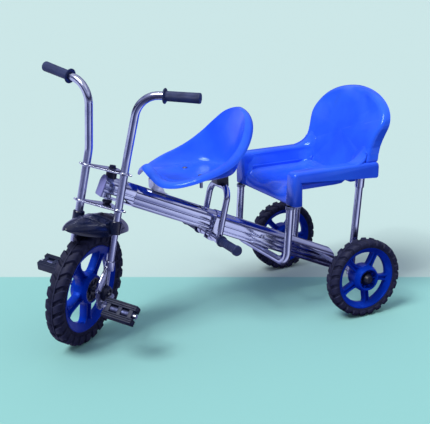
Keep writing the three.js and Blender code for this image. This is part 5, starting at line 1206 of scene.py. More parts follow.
@dataclass
class FrameTubes:
    """The bent chrome tubes that stand on the beam: seat frame, rear posts, peg bar and seat post."""

    layout: Layout
    post_radius: float = 9.5
    wall: float = 1.6
    post_x: float = 181.0
    post_lean: float = 4.3
    post_y: float = 131.0
    post_bend: float = 30.0
    flange_bottom: float = 292.7
    flange_middle: Point = (160.0, 132.5)
    flange_half: Point = (11.0, 21.0)
    collar_drop: float = 6.0
    rear_post_x: float = -4.0
    rear_post_y: float = 142.0
    rear_post_lean: float = 5.8
    rear_post_bottom: float = 87.0
    rear_post_collar: Point = (317.0, 348.0)
    collar_wall: float = 2.2
    arm_under: float = 376.0
    peg_x: float = 328.0
    peg_drop: float = 11.0
    peg_reach: float = 150.0
    peg_inner: float = 64.0
    peg_radius: float = 8.5
    hoop_half: float = 49.5
    hoop_apex: Point = (296.0, 337.0)
    hoop_bend: float = 30.0
    hoop_radius: float = 8.0
    clamp_length: float = 22.0
    clamp_wall: float = 2.0
    clamp_bore: Point = (20.3, 26.3)
    cheeks: Point = (-13.0, 10.0)
    cheek_drop: float = 22.5
    under: float = 26.0
    gap: float = 0.3

    def level(self, x: float, h: float) -> float:
        """Height above the ground, at x, of the line h above the beam's middle."""
        slope = radians(self.layout.beam_slope)
        return self.layout.axle_height + (h + x * sin(slope)) / cos(slope)

    def peg_height(self) -> float:
        """Height of the peg bar's middle."""
        return self.level(self.peg_x, -self.under - self.peg_drop)

    @staticmethod
    def sleeve(
        made: Draft,
        start: Vector,
        way: Vector,
        bore: float,
        near: float,
        far: float,
        flange: float,
        length: float,
    ) -> None:
        """A soft sleeve with a thin flange, fine ribs along it and a flat squared end.

        Args:
            made: The draft that it is added to.
            start: Where its flange starts.
            way: The direction that it runs in.
            bore: Radius of the bore.
            near: Its radius next to the flange.
            far: Its radius at the closed end.
            flange: Radius of the flange.
            length: Its whole length.
        """
        turned_to = way.to_track_quat("Z", "X")
        first = len(made.points)
        disc = [
            (bore, 0.0), (flange - 1.0, 0.0), (flange, 1.0), (flange, 2.6), (flange - 1.2, 3.8),
            (near + 0.6, 4.2), (near, 6.5), (bore, 6.5),
        ]
        made.turn(Axis.Z, disc, sides=56, edge=0.4)
        ribs, steps, depth = 30, 6, 0.45
        ribbed = [
            (near, 4.0), (mix(near, far, 0.3), length * 0.55), (far - 0.2, length - 9), (far, length - 3.0),
        ]
        closed = [
            (far - 0.3, length - 1.2), (far - 0.9, length - 0.3), (far - 2.0, length), (far * 0.28, length),
            (far * 0.24, length - 0.8), (0.2, length - 0.8),
        ]
        rings = []
        for dent, (radius, z) in [(depth, stop) for stop in ribbed] + [(0.0, stop) for stop in closed]:
            ring = []
            for i in range(ribs * steps):
                turn = 2 * pi * i / (ribs * steps)
                r = radius - dent * (0.5 - 0.5 * cos(2 * pi * i / steps))
                ring.append((r * cos(turn), r * sin(turn), z))
            rings.append(ring)
        made.rings(rings)
        made.moved(lambda p: tuple(turned_to @ Vector(p) + start), first)

    @staticmethod
    def ringed(made: Draft, start: Vector, way: Vector, length: float) -> None:
        """A peg's rubber sleeve: two flanges, a ringed barrel and a closed round end.

        Args:
            made: The draft that it is added to.
            start: Where it starts.
            way: The direction that it runs in.
            length: Its whole length.
        """
        profile = [(8.9, 0.0), (13.2, 0.0), (14.0, 1.0), (14.0, 5.0), (13.2, 6.0), (10.4, 6.6)]
        count = 7
        run = length - 6.6 - 14
        for i in range(count):
            a = 6.6 + run * (i + 0.3) / count
            up, down = a + run / count * 0.45, a + run / count * 0.55
            profile += [(10.2, a), (10.9, a + 1.0), (10.9, up), (10.2, down)]
        end = [
            (10.2, 13.0), (12.2, 11.5), (12.8, 9.0), (12.8, 3.0), (11.6, 0.5), (7.5, 0.0), (0.0, 0.6),
            (0.0, 2.0), (8.9, 2.0),
        ]
        profile += [(r, length - back) for r, back in end]
        first = len(made.points)
        made.turn(Axis.Z, profile, sides=48, edge=0.35)
        turned_to = way.to_track_quat("Z", "X")
        made.moved(lambda p: tuple(turned_to @ Vector(p) + start), first)

    def build(self) -> None:
        """Builds the tubes, peg grips, flanges and clamp."""
        ground = self.layout.ground()
        low = self.level(self.post_x, -self.under - self.post_radius - self.gap)
        lean = tan(radians(self.post_lean))
        top = self.flange_bottom - self.gap - self.post_radius * sin(radians(self.post_lean))
        top_x = self.post_x - (top - low) * lean
        frame = Draft(ground)
        y = self.post_y
        corners = [(top_x, -y, top), (self.post_x, -y, low), (self.post_x, y, low), (top_x, y, top)]
        frame.tube(Route(corners, [self.post_bend] * 2), self.post_radius, self.wall)
        frame.piece("seat_frame_tube", "bent", CHROME)
        rear = tan(radians(self.rear_post_lean))
        rear_top = self.arm_under - self.post_radius * rear - 2 * self.gap
        peg_z = self.peg_height()
        for side, mirror in sides():
            post = Draft(ground @ mirror)
            heights = (self.rear_post_bottom, rear_top)
            ends = [(self.rear_post_x - (z - 100) * rear, self.rear_post_y, z) for z in heights]
            post.tube(Route(ends, []), self.post_radius, self.wall)
            collar = [(self.rear_post_x - (z - 100) * rear, self.rear_post_y, z) for z in self.rear_post_collar]
            post.tube(Route(collar, []), self.post_radius + self.collar_wall)
            post.piece("rear_post_" + side, "tube", CHROME)
            flange = Draft(ground @ mirror)
            (x0, y0), (u, v) = self.flange_middle, self.flange_half
            plate = box(x0 - u, y0 - v, x0 + u, y0 + v)
            flange.prism(Axis.Z, plate, self.flange_bottom, self.flange_bottom + 3, edge=0.5, corner=4)
            start = len(flange.points)
            bottom = top - self.collar_drop
            flange.turn(Axis.Z, box(9.9, bottom, 11.8, top + 1.5), sides=40)
            flange.moved(lambda p: (p[0] + top_x - (p[2] - top) * lean, p[1] + self.post_y, p[2]), start)
            flange.piece("seat_flange_" + side, "pressed", ZINC)
            peg = Draft(ground @ mirror)
            inner, length = Vector((self.peg_x, self.peg_inner, peg_z)), self.peg_reach - self.peg_inner + 4
            self.ringed(peg, inner, Vector((0, 1, 0)), length)
            peg.piece("peg_grip_" + side, "ringed", GRIP)
        bar = Draft(ground)
        ends = [(self.peg_x, reach, peg_z) for reach in (-self.peg_reach, self.peg_reach)]
        bar.tube(Route(ends, []), self.peg_radius, sides=32)
        bar.piece("peg_bar", "tube", CHROME)
        hoop = Draft(ground)
        h, (ax, az) = self.hoop_half, self.hoop_apex
        down = Vector((self.peg_x - ax, 0, peg_z - az)).normalized() * self.peg_radius
        foot = (self.peg_x - down.x, peg_z - down.z)
        corners = [(foot[0], -h, foot[1]), (ax, -h, az), (ax, h, az), (foot[0], h, foot[1])]
        hoop.tube(Route(corners, [self.hoop_bend] * 2), self.hoop_radius, self.wall)
        for y in (-h, h):
            start = len(hoop.points)
            hoop.turn(Axis.Y, [(8.8, -7.6), (10.6, -7.0), (10.6, 7.0), (8.8, 7.6)], sides=40, edge=0.6)
            hoop.moved(lambda p, y=y: (p[0] + self.peg_x, p[1] + y, p[2] + peg_z), start)
        hoop.piece("seat_post_hoop", "bent", CHROME)
        self.clamp(peg_z)

    def clamp(self, peg_z: float) -> None:
        """Folds the plated band round the beam whose foot carries the peg bar.

        Args:
            peg_z: Height of the peg bar's middle.
        """
        slope = radians(self.layout.beam_slope)
        middle = self.peg_x * cos(slope) + (peg_z - self.layout.axle_height) * sin(slope)
        half = self.clamp_length / 2
        rear, front = middle - half, middle + half
        inside, floor = self.clamp_bore
        crown = floor - inside
        bands = []
        for wall in (0.0, self.clamp_wall):
            reach, low = inside + wall, -floor - wall
            bands.append(arc((0, crown), reach, 180, 0, 28) + [(reach, low), (-reach, low)])
        inner, outer = bands
        made = Draft(self.layout.beam())
        band = [(inner, rear), (outer, rear), (outer, front), (inner, front)]
        made.rings([[(x, y, h) for y, h in ring] for ring, x in band], loop=True)
        top = -floor - self.clamp_wall / 2
        foot = top - self.cheek_drop
        cheek = [(rear, top), (front, top), (front - 1.5, foot), (rear + 1.5, foot)]
        for y in self.cheeks:
            made.prism(Axis.Y, cheek, y, y + 3, edge=0.6, corner=5)
        made.prism(Axis.Y, box(rear + 1, foot + 4, front - 1, foot + 1), -11, 11, edge=0.4)
        made.piece("saddle_clamp", "folded", CHROME)


# ---------------------------------------------------------------- steering head and fork


@dataclass
class SteeringFork:
    """Fork legs that run up into the handlebars, their plates, bolts, ends, grips and head bushes."""

    layout: Layout
    tubes: FrameTubes
    offset: float = 33.0
    spread: float = 51.4
    leg_radius: float = 9.5
    leg_bottom: float = 60.0
    leg_bend: float = 325.0
    upper_plate: float = 287.4
    lower_plate: float = 201.6
    plate: float = 4.0
    bar_corner: Space = (54.0, 66.0, 474.0)
    bar_end: Space = (31.0, 203.0, 491.0)
    bends: tuple[float, float] = (120.0, 60.0)
    grip_inside: float = 81.7
    grip: tuple[float, ...] = (9.9, 11.4, 12.15, 17.6, 84.0)
    crown: float = 268.8
    eye_radius: float = 14.0
    nose_radius: float = 15.0
    pin_radius: float = 2.5
    pin: Point = (12.0, 19.2)
    end_half: float = 2.5
    end_bolt: Point = (11.0, -27.0)
    head_radius: float = 7.5
    lower_head_radius: float = 6.0
    pivot_radius: float = 5.0
    lower_bolt_top: float = 226.0
    gap: float = 0.3

    def hexagon(
        self, made: Draft, axis: Axis, at: Point, size: float, low: float, high: float, shank: float, to: float
    ) -> None:
        """A hexagon head with chamfered corners, and its shank.

        Args:
            made: The draft that it is added to.
            axis: The bolt's axis.
            at: Where the axis passes.
            size: The head's corner radius.
            low: The head's face at the shank.
            high: The head's far face.
            shank: The shank's radius.
            to: Where the shank ends.
        """
        made.prism(axis, regular(size, 6, at), min(low, high), max(low, high), edge=0.9, corner=0.4)
        made.prism(axis, regular(shank, 20, at), min(low, to), max(low, to), edge=0.3)

    def plate_piece(self, height: float, name: str) -> None:
        """Builds a thin plate with an eye round each leg, one for the pivot and a small pin at each end.

        Args:
            height: Where the plate lies, up the head.
            name: The plate's CAD node.
        """
        s, o, r = self.spread, self.offset, self.eye_radius
        outline = arc((o, -s), r, -180, 20, 14) + arc((o, s), r, -20, 180, 14)
        outline += arc((0, 0), self.nose_radius, 125, 235, 10)
        made = Draft(self.layout.fork())
        made.prism(Axis.Z, fillet(outline, 6, 3), height - 1.9, height + 1.9, edge=0.7)
        weld = [(9.7, -3.6), (10.6, -3.2), (11.8, -1.5), (11.8, 1.5), (10.6, 3.2), (9.7, 3.6)]
        stub = regular(self.pin_radius, 16, (o, height))
        for sign in (-1, 1):
            made.turn(Axis.Z, weld, sides=40, edge=0.4, at=(o, sign * s, height))
            low, high = sorted(sign * (s + reach) for reach in self.pin)
            made.prism(Axis.Y, stub, low, high, edge=0.5)
        made.piece(name, "pressed", CHROME, "fork")

    def end_outline(self) -> list[Point]:
        """Draws the hooked side plate of a fork end, which curves ahead of the axle to its bolt.

        Returns:
            Its outline in (x, z).
        """
        o = self.offset
        return [
            (o - 9.5, 62), (o - 9.5, 8), (o - 3, 8), (o + 6, 4), (o + 6, -4), (o - 3, -8), (o - 9, -10),
            (o - 8, -24), (o - 1, -34), (o + 8, -39), (o + 19, -36), (o + 26, -25), (o + 33, -8),
            (o + 39.4, 6), (o + 40, 16), (o + 36, 34), (o + 25, 52), (o + 14, 66), (o + 9.5, 74),
        ]

    def build(self) -> None:
        """Builds everything that turns with the handlebars, and the bushes of the head."""
        fork = self.layout.fork()
        o, s = self.offset, self.spread
        for side, mirror in sides():
            place = fork @ mirror
            leg = Draft(place)
            corners = [(o, s, self.leg_bottom), (o, s, self.leg_bend), self.bar_corner, self.bar_end]
            leg.tube(Route(corners, self.bends), self.leg_radius, 1.6)
            leg.piece("handlebar_" + side, "bent", CHROME, "fork")
            way = (Vector(self.bar_end) - Vector(self.bar_corner)).normalized()
            grip = Draft(place)
            self.tubes.sleeve(grip, Vector(self.bar_end) - way * self.grip_inside, way, *self.grip)
            grip.piece("grip_" + side, "ribbed", GRIP, "fork")
            end = Draft(place)
            half, hook = self.end_half, self.end_outline()
            end.prism(Axis.Y, hook, s - half, s + half, edge=1.0, corner=5)
            end.prism(Axis.Y, inset_outline(fillet(hook, 5), 5.0), s - half - 0.9, s + half + 0.9, edge=0.8)
            end.turn(Axis.Z, [(9.7, 57), (12, 57), (12, 78), (11.2, 80), (9.7, 80)], sides=40, at=(o, s, 0))
            end.piece("fork_end_" + side, "pressed", CHROME, "fork")
            bolt = Draft(place)
            (bolt_x, bolt_z), face = self.end_bolt, s + half + self.gap
            self.hexagon(bolt, Axis.Y, (o + bolt_x, bolt_z), self.head_radius, face, face + 4.2, 2.5, s - half)
            washer = box(0, face - 0.1, 9, face + 0.9)
            bolt.turn(Axis.Y, washer, sides=32, edge=0.2, at=(o + bolt_x, 0, bolt_z))
            bolt.piece("fork_bolt_" + side, "hex", ZINC, "fork")
            bush = Draft(place)
            profile = [(6.3, 0.0), (19, 0.0), (19, 5), (16.5, 8.6), (12.5, 9), (11.5, 6), (6.3, 6)]
            bush.turn(Axis.Y, profile, sides=56, edge=0.8, at=(o, face, 0))
            bush.piece("crank_bush_" + side, "moulded", BLACK, "fork")
        self.plate_piece(self.upper_plate, "upper_plate")
        self.plate_piece(self.lower_plate, "lower_plate")
        upper = Draft(fork)
        high = self.upper_plate + self.plate / 2 + self.gap
        self.hexagon(upper, Axis.Z, (0, 0), self.head_radius, high, high + 6, self.pivot_radius, self.crown)
        upper.turn(Axis.Z, box(0, high - 0.2, 9.5, high + 0.9), sides=36, edge=0.2)
        upper.piece("pivot_bolt_upper", "hex", BLACK_ZINC, "fork")
        lower = Draft(fork)
        low = self.lower_plate - self.plate / 2 - self.gap
        size, top = self.lower_head_radius, self.lower_bolt_top
        self.hexagon(lower, Axis.Z, (0, 0), size, low, low - 6, self.pivot_radius, top)
        lower.piece("pivot_bolt_lower", "hex", BLACK_ZINC, "fork")
        self.bushes()

    def bushes(self) -> None:
        """Turns the bushes and the neck of the head, which stay with the beam."""
        head = self.layout.head()
        top = self.upper_plate - self.plate / 2 - self.gap
        cup = self.lower_plate + self.plate / 2 + self.gap
        seat = self.crown - 6
        parts = {
            "upper_pivot_bush": (BLACK, [(5.5, seat), (13, seat), (13, top - 3), (11.8, top), (5.5, top)]),
            "lower_pivot_cup": (BLACK, [(5.5, cup), (9, cup), (12, cup + 4), (10.6, cup + 8), (5.5, cup + 8)]),
            "lower_pivot_neck": (SATIN, box(5.5, cup + 8.3, 7.5, cup + 22)),
        }
        for node, (finish, profile) in parts.items():
            made = Draft(head)
            made.turn(Axis.Z, profile, sides=48, edge=0.6)
            made.piece(node, "turned", finish)


@dataclass
class Mudguard:
    """The leaf-shaped mudguard over the front wheel, with a collar round each leg."""

    layout: Layout
    offset: float = 33.0
    spread: float = 51.4
    front: float = 132.0
    rear: float = 150.0
    half_width: float = 50.0
    crown: float = 183.0
    edge: float = 144.0
    front_tip: float = 160.0
    rear_tip: float = 126.0
    tip_width: float = 8.0
    thickness: float = 3.0
    width_power: float = 0.8
    height_power: float = 0.64
    arch_power: float = 0.85
    ribs: tuple[float, ...] = (-0.42, -0.12, 0.18, 0.48)
    rib_rise: float = 1.7
    rib_half_share: float = 0.034
    rib_sweep_share: float = 0.34
    crease: float = 2.2
    collar: tuple[Point, ...] = ((9.7, 145), (13.8, 145), (13.8, 174), (12.6, 176), (9.7, 176))

    def bow(self, share: float, inset: float) -> list[Space]:
        """One side of a cross-section, from edge to edge over the crown.

        Args:
            share: Where along the guard, from -1 at its rear tip to 1 at its front tip.
            inset: How far inside the outer surface.

        Returns:
            The points of the arch.
        """
        length, tip = (self.rear, self.rear_tip) if share < 0 else (self.front, self.front_tip)
        left = max(0.0, 1 - share * share)
        swell, lift = left**self.width_power, left**self.height_power
        x = self.offset + share * length
        half = mix(self.tip_width / 2, self.half_width, swell)
        top = mix(tip, self.crown, lift)
        low = mix(tip, self.edge, lift) - self.thickness * 1.5
        points = []
        for k in range(41):
            turn = pi * k / 40
            rise = sin(turn) ** self.arch_power
            away = (turn - pi / 2) / (0.16 + 0.25 * (1 - swell))
            crease = self.crease * (1 - exp(-(away**2))) * swell
            swept = share + self.rib_sweep_share * abs(cos(turn))
            ribs = sum(exp(-(((swept - at) / self.rib_half_share) ** 2)) for at in self.ribs)
            high = top - crease - self.rib_rise * (1 - ribs * swell) - inset
            height = mix(low, high, rise)
            points.append((x, (half - inset) * cos(turn), height))
        return points

    def build(self) -> None:
        """Lofts arched sections from tip to tip and adds the collars."""
        made = Draft(self.layout.fork())
        rings = []
        for i in range(121):
            share = -1 + 2 * i / 120
            share = copysign(abs(share) ** 0.85, share)
            rings.append(self.bow(share, 0.0) + self.bow(share, self.thickness)[::-1])
        made.rings(rings)
        for sign in (-1, 1):
            made.turn(Axis.Z, self.collar, sides=44, edge=0.8, at=(self.offset, sign * self.spread, 0))
        made.piece("mudguard", "moulded", GUARD, "fork", sharp=40)


# ---------------------------------------------------------------- seats


@dataclass
class FrontSeat:
    """The small bucket seat: a bowl with a rolled lip, low in front and high behind, and its mounts."""

    layout: Layout
    centre: Point = (360.0, 380.0)
    half_width: float = 123.0
    nose: float = 122.0
    back: float = 116.0
    rise: float = 148.0
    wall: float = 4.0
    power: float = 2.3
    lip_out: float = 20.0
    lip_drop: float = 13.0
    rises: tuple[float, ...] = (0.236, 0.15, 0.04, 0.04, 0.09, 0.16, 0.23, 0.335, 0.5, 0.7, 0.87, 0.96, 1.0)
    bowl: tuple[Point, ...] = (
        (0.0, 0.0), (0.2, 0.0), (0.35, 0.0), (0.5, 0.0), (0.66, 0.0), (0.78, 0.06), (0.9, 0.45), (0.97, 0.85),
        (1.0, 1.0),
    )
    lip: tuple[Point, ...] = ((0.0, 0.0), (0.42, 0.0), (0.82, 0.38), (1.0, 1.0))
    spokes: int = 120
    screw: Point = (370.0, 48.0)
    screw_length: float = 31.0
    nut: Point = (369.4, 375.4)
    block: tuple[Point, ...] = ((280, 333), (312, 341), (312, 375.7), (280, 375.7))
    strip_half: float = 17.0
    strip_ends: Space = (312.4, 445.1, 481.1)
    strip: float = 3.0
    gap: float = 0.3

    def spoke(self, angle: float) -> list[Vector]:
        """Draws the seat's surface from the floor's middle out over the lip.

        Args:
            angle: The turn about the seat's middle, 0 at its nose.

        Returns:
            The points, in the ground's frame.
        """
        along = self.nose if cos(angle) > 0 else self.back
        x, y = abs(cos(angle) / along) ** self.power, abs(sin(angle) / self.half_width) ** self.power
        reach = (x + y) ** (-1 / self.power)
        rise = self.rise * smooth_table(self.rises, abs(angle) / pi)
        made = []
        for i in range(2, 33):
            r, z = (smooth_table(values, i / 32) for values in zip(*self.bowl))
            made.append((r * reach, self.centre[1] + max(0.0, z) * rise))
        for i in range(1, 11):
            out, drop = (smooth_table(values, i / 10) for values in zip(*self.lip))
            made.append((reach + out * self.lip_out, self.centre[1] + rise - max(0.0, drop) * self.lip_drop))
        return [Vector((self.centre[0] + r * cos(angle), r * sin(angle), z)) for r, z in made]

    def build(self) -> None:
        """Builds the seat, its two screws, its block and its bracket."""
        ground, count = self.layout.ground(), self.spokes
        rows = [self.spoke((2 * pi * i / count + pi) % (2 * pi) - pi) for i in range(count)]
        middle = Vector((self.centre[0], 0, self.centre[1]))
        section = []
        for i, row in enumerate(rows):
            before, after = rows[i - 1], rows[(i + 1) % count]
            under = []
            for k, p in enumerate(row):
                out = row[min(k + 1, len(row) - 1)] - (row[k - 1] if k > 0 else middle)
                under.append(p + (after[k] - before[k]).cross(out).normalized() * self.wall)
            section.append([*row, *reversed(under)])
        made = Draft(ground)
        made.rings([[tuple(p) for p in ring] for ring in section], loop=True)
        base, n = len(made.points), len(section[0])
        made.faces = [f for f in made.faces if {i % n for i in f} != {0, n - 1}]
        made.points += [tuple(middle), tuple(middle - Vector((0, 0, self.wall)))]
        for i in range(count):
            j = (i + 1) % count
            made.faces.append([base, i * n, j * n])
            made.faces.append([base + 1, j * n + n - 1, i * n + n - 1])
        made.piece("front_seat", "bucket", SEAT_BLUE, sharp=50)
        (x, y), z = self.screw, self.centre[1] + self.gap
        head = [(0, z), (7, z), (6.4, z + 1.6), (4.5, z + 2.5), (0, z + 2.5)]
        shank = box(0, z - self.screw_length, 4, z)
        for side, mirror in sides():
            screw = Draft(ground @ mirror)
            screw.turn(Axis.Z, head, sides=32, edge=0.4, at=(x, y, 0))
            screw.turn(Axis.Z, shank, sides=24, edge=0.4, at=(x, y, 0))
            screw.prism(Axis.Z, regular(7, 6, (x, y)), *self.nut, edge=0.7)
            screw.piece("front_seat_screw_" + side, "domed", ZINC)
        block = Draft(ground)
        block.prism(Axis.Y, self.block, -self.strip_half, self.strip_half, edge=1.5, corner=3)
        block.piece("seat_mount_block", "moulded", BLACK)
        self.bracket(ground)

    def bracket(self, ground: Matrix) -> None:
        """Folds the strip: a foot on the beam, a riser, and a table that runs back to the block.

        Args:
            ground: The ground's place.
        """
        slope = radians(self.layout.beam_slope)
        tail, rear, front = self.strip_ends
        rise = self.layout.axle_height
        low, high = (rise + (26.5 + x * sin(slope)) / cos(slope) for x in (rear, front))
        top, inner = self.centre[1] - self.wall - self.gap, front - self.strip
        outline = [
            (rear, low), (front, high), (front, top), (tail, top), (tail, top - self.strip),
            (inner, top - self.strip), (inner, high + self.strip), (rear, low + self.strip),
        ]
        made = Draft(ground)
        made.prism(Axis.Y, outline, -self.strip_half, self.strip_half, edge=0.6, corner=2.5)
        web = [(rear + 6, low + 5), (front - 1, high + 1), (front - 1, top - 1), (front - 16, top - 1)]
        for y in (-self.strip_half, self.strip_half - 2):
            made.prism(Axis.Y, web, y, y + 2, edge=0.5, corner=3)
        made.piece("front_seat_bracket", "folded", SATIN)


@dataclass(frozen=True)
class Strand:
    """A line of the rear seat's tub, from the back to the front.

    Attributes:
        y: How far it lies from the middle.
        z: How high it lies.
        way: Its direction in (y, z) where it leaves the level to blend into the back.
        blend: That blend's reach and height.
        rolls: How far it rolls down at the front, from 0 to 1.
        hidden: How far it hides inside the arm, from 0 to 1.
    """

    y: float
    z: float
    way: Point
    blend: Point
    rolls: float = 0.0
    hidden: float = 0.0


@dataclass
class RearSeat:
    """The wide moulded arm-chair seat: a leaning oval back, two hollow arms and a tub that blends into them."""

    layout: Layout
    wall: float = 4.0
    pan_top: float = 326.0
    pan_half: float = 108.0
    pan_middle: float = 60.0
    cove: Point = (42.0, 20.0)
    arm_top: float = 380.0
    arm_inner_top: float = 118.0
    arm_outer: float = 157.0
    arm_rear: float = -78.0
    arm_front: float = 173.0
    arm_edge: float = 9.0
    heel_round: float = 17.0
    skirt_rear: float = 336.0
    skirt_front: float = 358.0
    leg_rear: float = 147.0
    leg_bottom: float = 296.0
    roll_start: float = 130.0
    roll_end: float = 168.0
    roll_bottom: float = 294.0
    foot_x: float = -18.0
    lean: float = 19.7
    top: float = 551.0
    centre_z: float = 470.0
    half: float = 161.0
    neck: Point = (148.0, 415.0)
    foot_half: float = 154.0
    edge: float = 11.0
    depth_top: float = 26.0
    depth_foot: float = 38.0
    dish: float = 6.0
    dish_z: float = 440.0
    crown_fall: float = 9.0
    heel: Point = (28.0, 26.0)
    gusset: Point = (46.0, 38.0)
    gusset_edge: Point = (40.0, 22.0)
    gusset_inside: float = 5.0
    rib_bottom: float = 323.0
    rib_front: float = 147.0
    rib_rear: float = -16.0
    rib_y: float = 108.5
    wave: Space = (4.5, 46.0, 26.0)
    pan_dish: Point = (1.5, 66.0)
    lap: float = 1.4
    crown_reach: Point = (42.0, 40.0)
    crown_rise: Point = (440.0, 70.0)
    sweep: tuple[int, ...] = (90, 86, 81, 75, 68, 60, 51, 42, 33, 24, 16, 8, 0)
    roll: tuple[Point, ...] = (
        (0.2, 0.012), (0.36, 0.05), (0.52, 0.12), (0.65, 0.2), (0.74, 0.29), (0.83, 0.4), (0.9, 0.52),
        (0.955, 0.66), (0.985, 0.82), (1.0, 1.0),
    )

    def face(self, z: float) -> float:
        """The x of the back's front face at a height."""
        return self.foot_x - (z - self.pan_top) * tan(radians(self.lean))

    def crown(self, y: float, z: float) -> float:
        """Finds how far the face falls back near the head's edge, which makes its top convex.

        Args:
            y: How far from the middle.
            z: How high.

        Returns:
            The fall, along X.
        """
        (start, width), (low, tall) = self.crown_reach, self.crown_rise
        share = unit((hypot(y, z - self.centre_z) - start) / width)
        return -self.crown_fall * share * share * eased(unit((z - low) / tall))

    @cached_property
    def dish_rim(self) -> list[Point]:
        """The dish's rim about its middle, as turns and reaches."""
        outline = inset_outline(fillet(self.back_outline(), 10, 4), self.edge)
        return sorted((atan2(b - self.dish_z, a), hypot(a, b - self.dish_z)) for a, b in outline)

    def dished(self, share: float) -> float:
        """How far the dish lies behind its rim, at a share of the way from its middle out."""
        return -self.dish * (1 - share * share) ** 1.3

    def hollow(self, y: float, z: float) -> float:
        """Finds how deep the dish is at a place of the back.

        Args:
            y: How far from the middle.
            z: How high.

        Returns:
            The depth behind the rim, along X.
        """
        turn, reach = atan2(z - self.dish_z, y), hypot(y, z - self.dish_z)
        near = min(self.dish_rim, key=lambda item: abs(item[0] - turn))[1]
        return self.dished(min(reach / near, 1.0))

    def back_outline(self) -> list[Point]:
        """Draws the back: a waist above the arms and a wide oval head.

        Returns:
            Its outline in (y, z).
        """
        turns = [pi * i / 48 for i in range(49)]
        rise = self.top - self.centre_z
        head = [(self.half * cos(t), self.centre_z + rise * sin(t)) for t in turns]
        low = self.arm_top - 2
        (neck, waist), foot = self.neck, self.foot_half
        right = [
            (110, 322), (112, low), (foot, low), (mix(neck, foot, 0.25), mix(low, waist, 0.5)), (neck, waist),
            (neck + 2.5, waist + 16), (self.half - 5, self.centre_z - 20), (self.half - 0.9, self.centre_z - 8),
        ]
        left = [(-y, z) for y, z in reversed(right)]
        return right + head + left

    def back(self) -> Draft:
        """Builds the back: a dished panel whose rounded edge turns into a deep flange behind it.

        Returns:
            The back's draft.
        """
        outline = fillet(self.back_outline(), 10, 4)

        def ring(inset: float, x: float, deep: bool = False) -> list[Space]:
            """Goes once round the edge.

            Args:
                inset: How far inside the outline.
                x: How far ahead of the face.
                deep: Whether it runs along the flange's rear edge instead.

            Returns:
                The ring's points.
            """
            placed = []
            for y, z in inset_outline(outline, inset):
                share = (self.top - z) / (self.top - self.pan_top)
                ahead = -mix(self.depth_top, self.depth_foot, share) if deep else x + self.crown(y, z)
                placed.append((self.face(z) + ahead, y, z))
            return placed

        def shrunk(share: float, x: float) -> list[Space]:
            """Goes once round the panel.

            Args:
                share: The ring's size, from 0 in the dish's middle to 1 at its rim.
                x: How far ahead of the face.

            Returns:
                The ring's points.
            """
            placed = []
            for a, b in inset_outline(outline, self.edge):
                y, z = a * share, mix(self.dish_z, b, share)
                placed.append((self.face(z) + x + self.crown(y, z), y, z))
            return placed

        shares = (0.02, 0.15, 0.3, 0.45, 0.6, 0.72, 0.82, 0.9, 0.96)
        front = [shrunk(s, self.dished(s)) for s in shares]
        turns = [pi * k / 16 for k in range(9)]
        rounding = [ring(self.edge * (1 - sin(a)), -self.edge * (1 - cos(a))) for a in turns]
        inner = -self.edge - self.wall
        inside = [ring(0, 0, True), ring(self.wall, 0, True), ring(self.wall, inner)]
        inside += [shrunk(s, inner + self.dished(s) / 2) for s in (0.97, 0.6, 0.3, 0.02)]
        made = Draft(self.layout.ground())
        made.rings(front + rounding + inside)
        return made

    def arm(self, place: Matrix) -> Draft:
        """Builds one arm with its front leg, open underneath, as the outside of a hollow moulding.

        Args:
            place: The place of the arm's side of the ground.

        Returns:
            The arm's draft.
        """
        floor, inner = self.leg_bottom - 12, self.pan_half + 1.5
        outline = [
            (self.arm_rear, self.skirt_rear - 12), (self.arm_rear, self.arm_top),
            (self.arm_front, self.arm_top), (self.arm_front, floor),
            (self.leg_rear, floor), (self.leg_rear, self.skirt_front - 12),
        ]
        made = Draft(place)
        drawn = fillet(outline[:4], 15, 6, closed=False) + outline[4:]
        made.prism(Axis.Y, drawn, inner, self.arm_outer, edge=self.arm_edge)

        def bottom(x: float) -> float:
            """Finds how high the arm's lower edge is.

            Args:
                x: Where along the arm.

            Returns:
                The height, with the edge's rounded heel.
            """
            if x > self.leg_rear - 0.5:
                return self.leg_bottom
            inward = max(0.0, self.heel_round - (x - self.arm_rear))
            rounded = self.heel_round - sqrt(max(0.0, self.heel_round**2 - inward**2))
            along = (x - self.arm_rear) / (self.leg_rear - self.arm_rear)
            return mix(self.skirt_rear, self.skirt_front, along) + rounded

        def shape(p: Space) -> Space:
            """Slopes the inner side outwards as it rises, and levels the open bottom.

            Args:
                p: A point of the arm.

            Returns:
                Where it moves to.
            """
            x, y, z = p
            share = unit((z - self.pan_top) / (self.arm_top - self.pan_top))
            across = (self.arm_outer - y) / (self.arm_outer - inner)
            return (x, y + (self.arm_inner_top - self.pan_half) * share * across, max(z, bottom(x)))

        made.moved(shape)
        above = [abs(z - bottom(x)) >= 0.01 for x, _, z in made.points]
        made.faces = [f for f in made.faces if any(above[i] for i in f)]
        return made

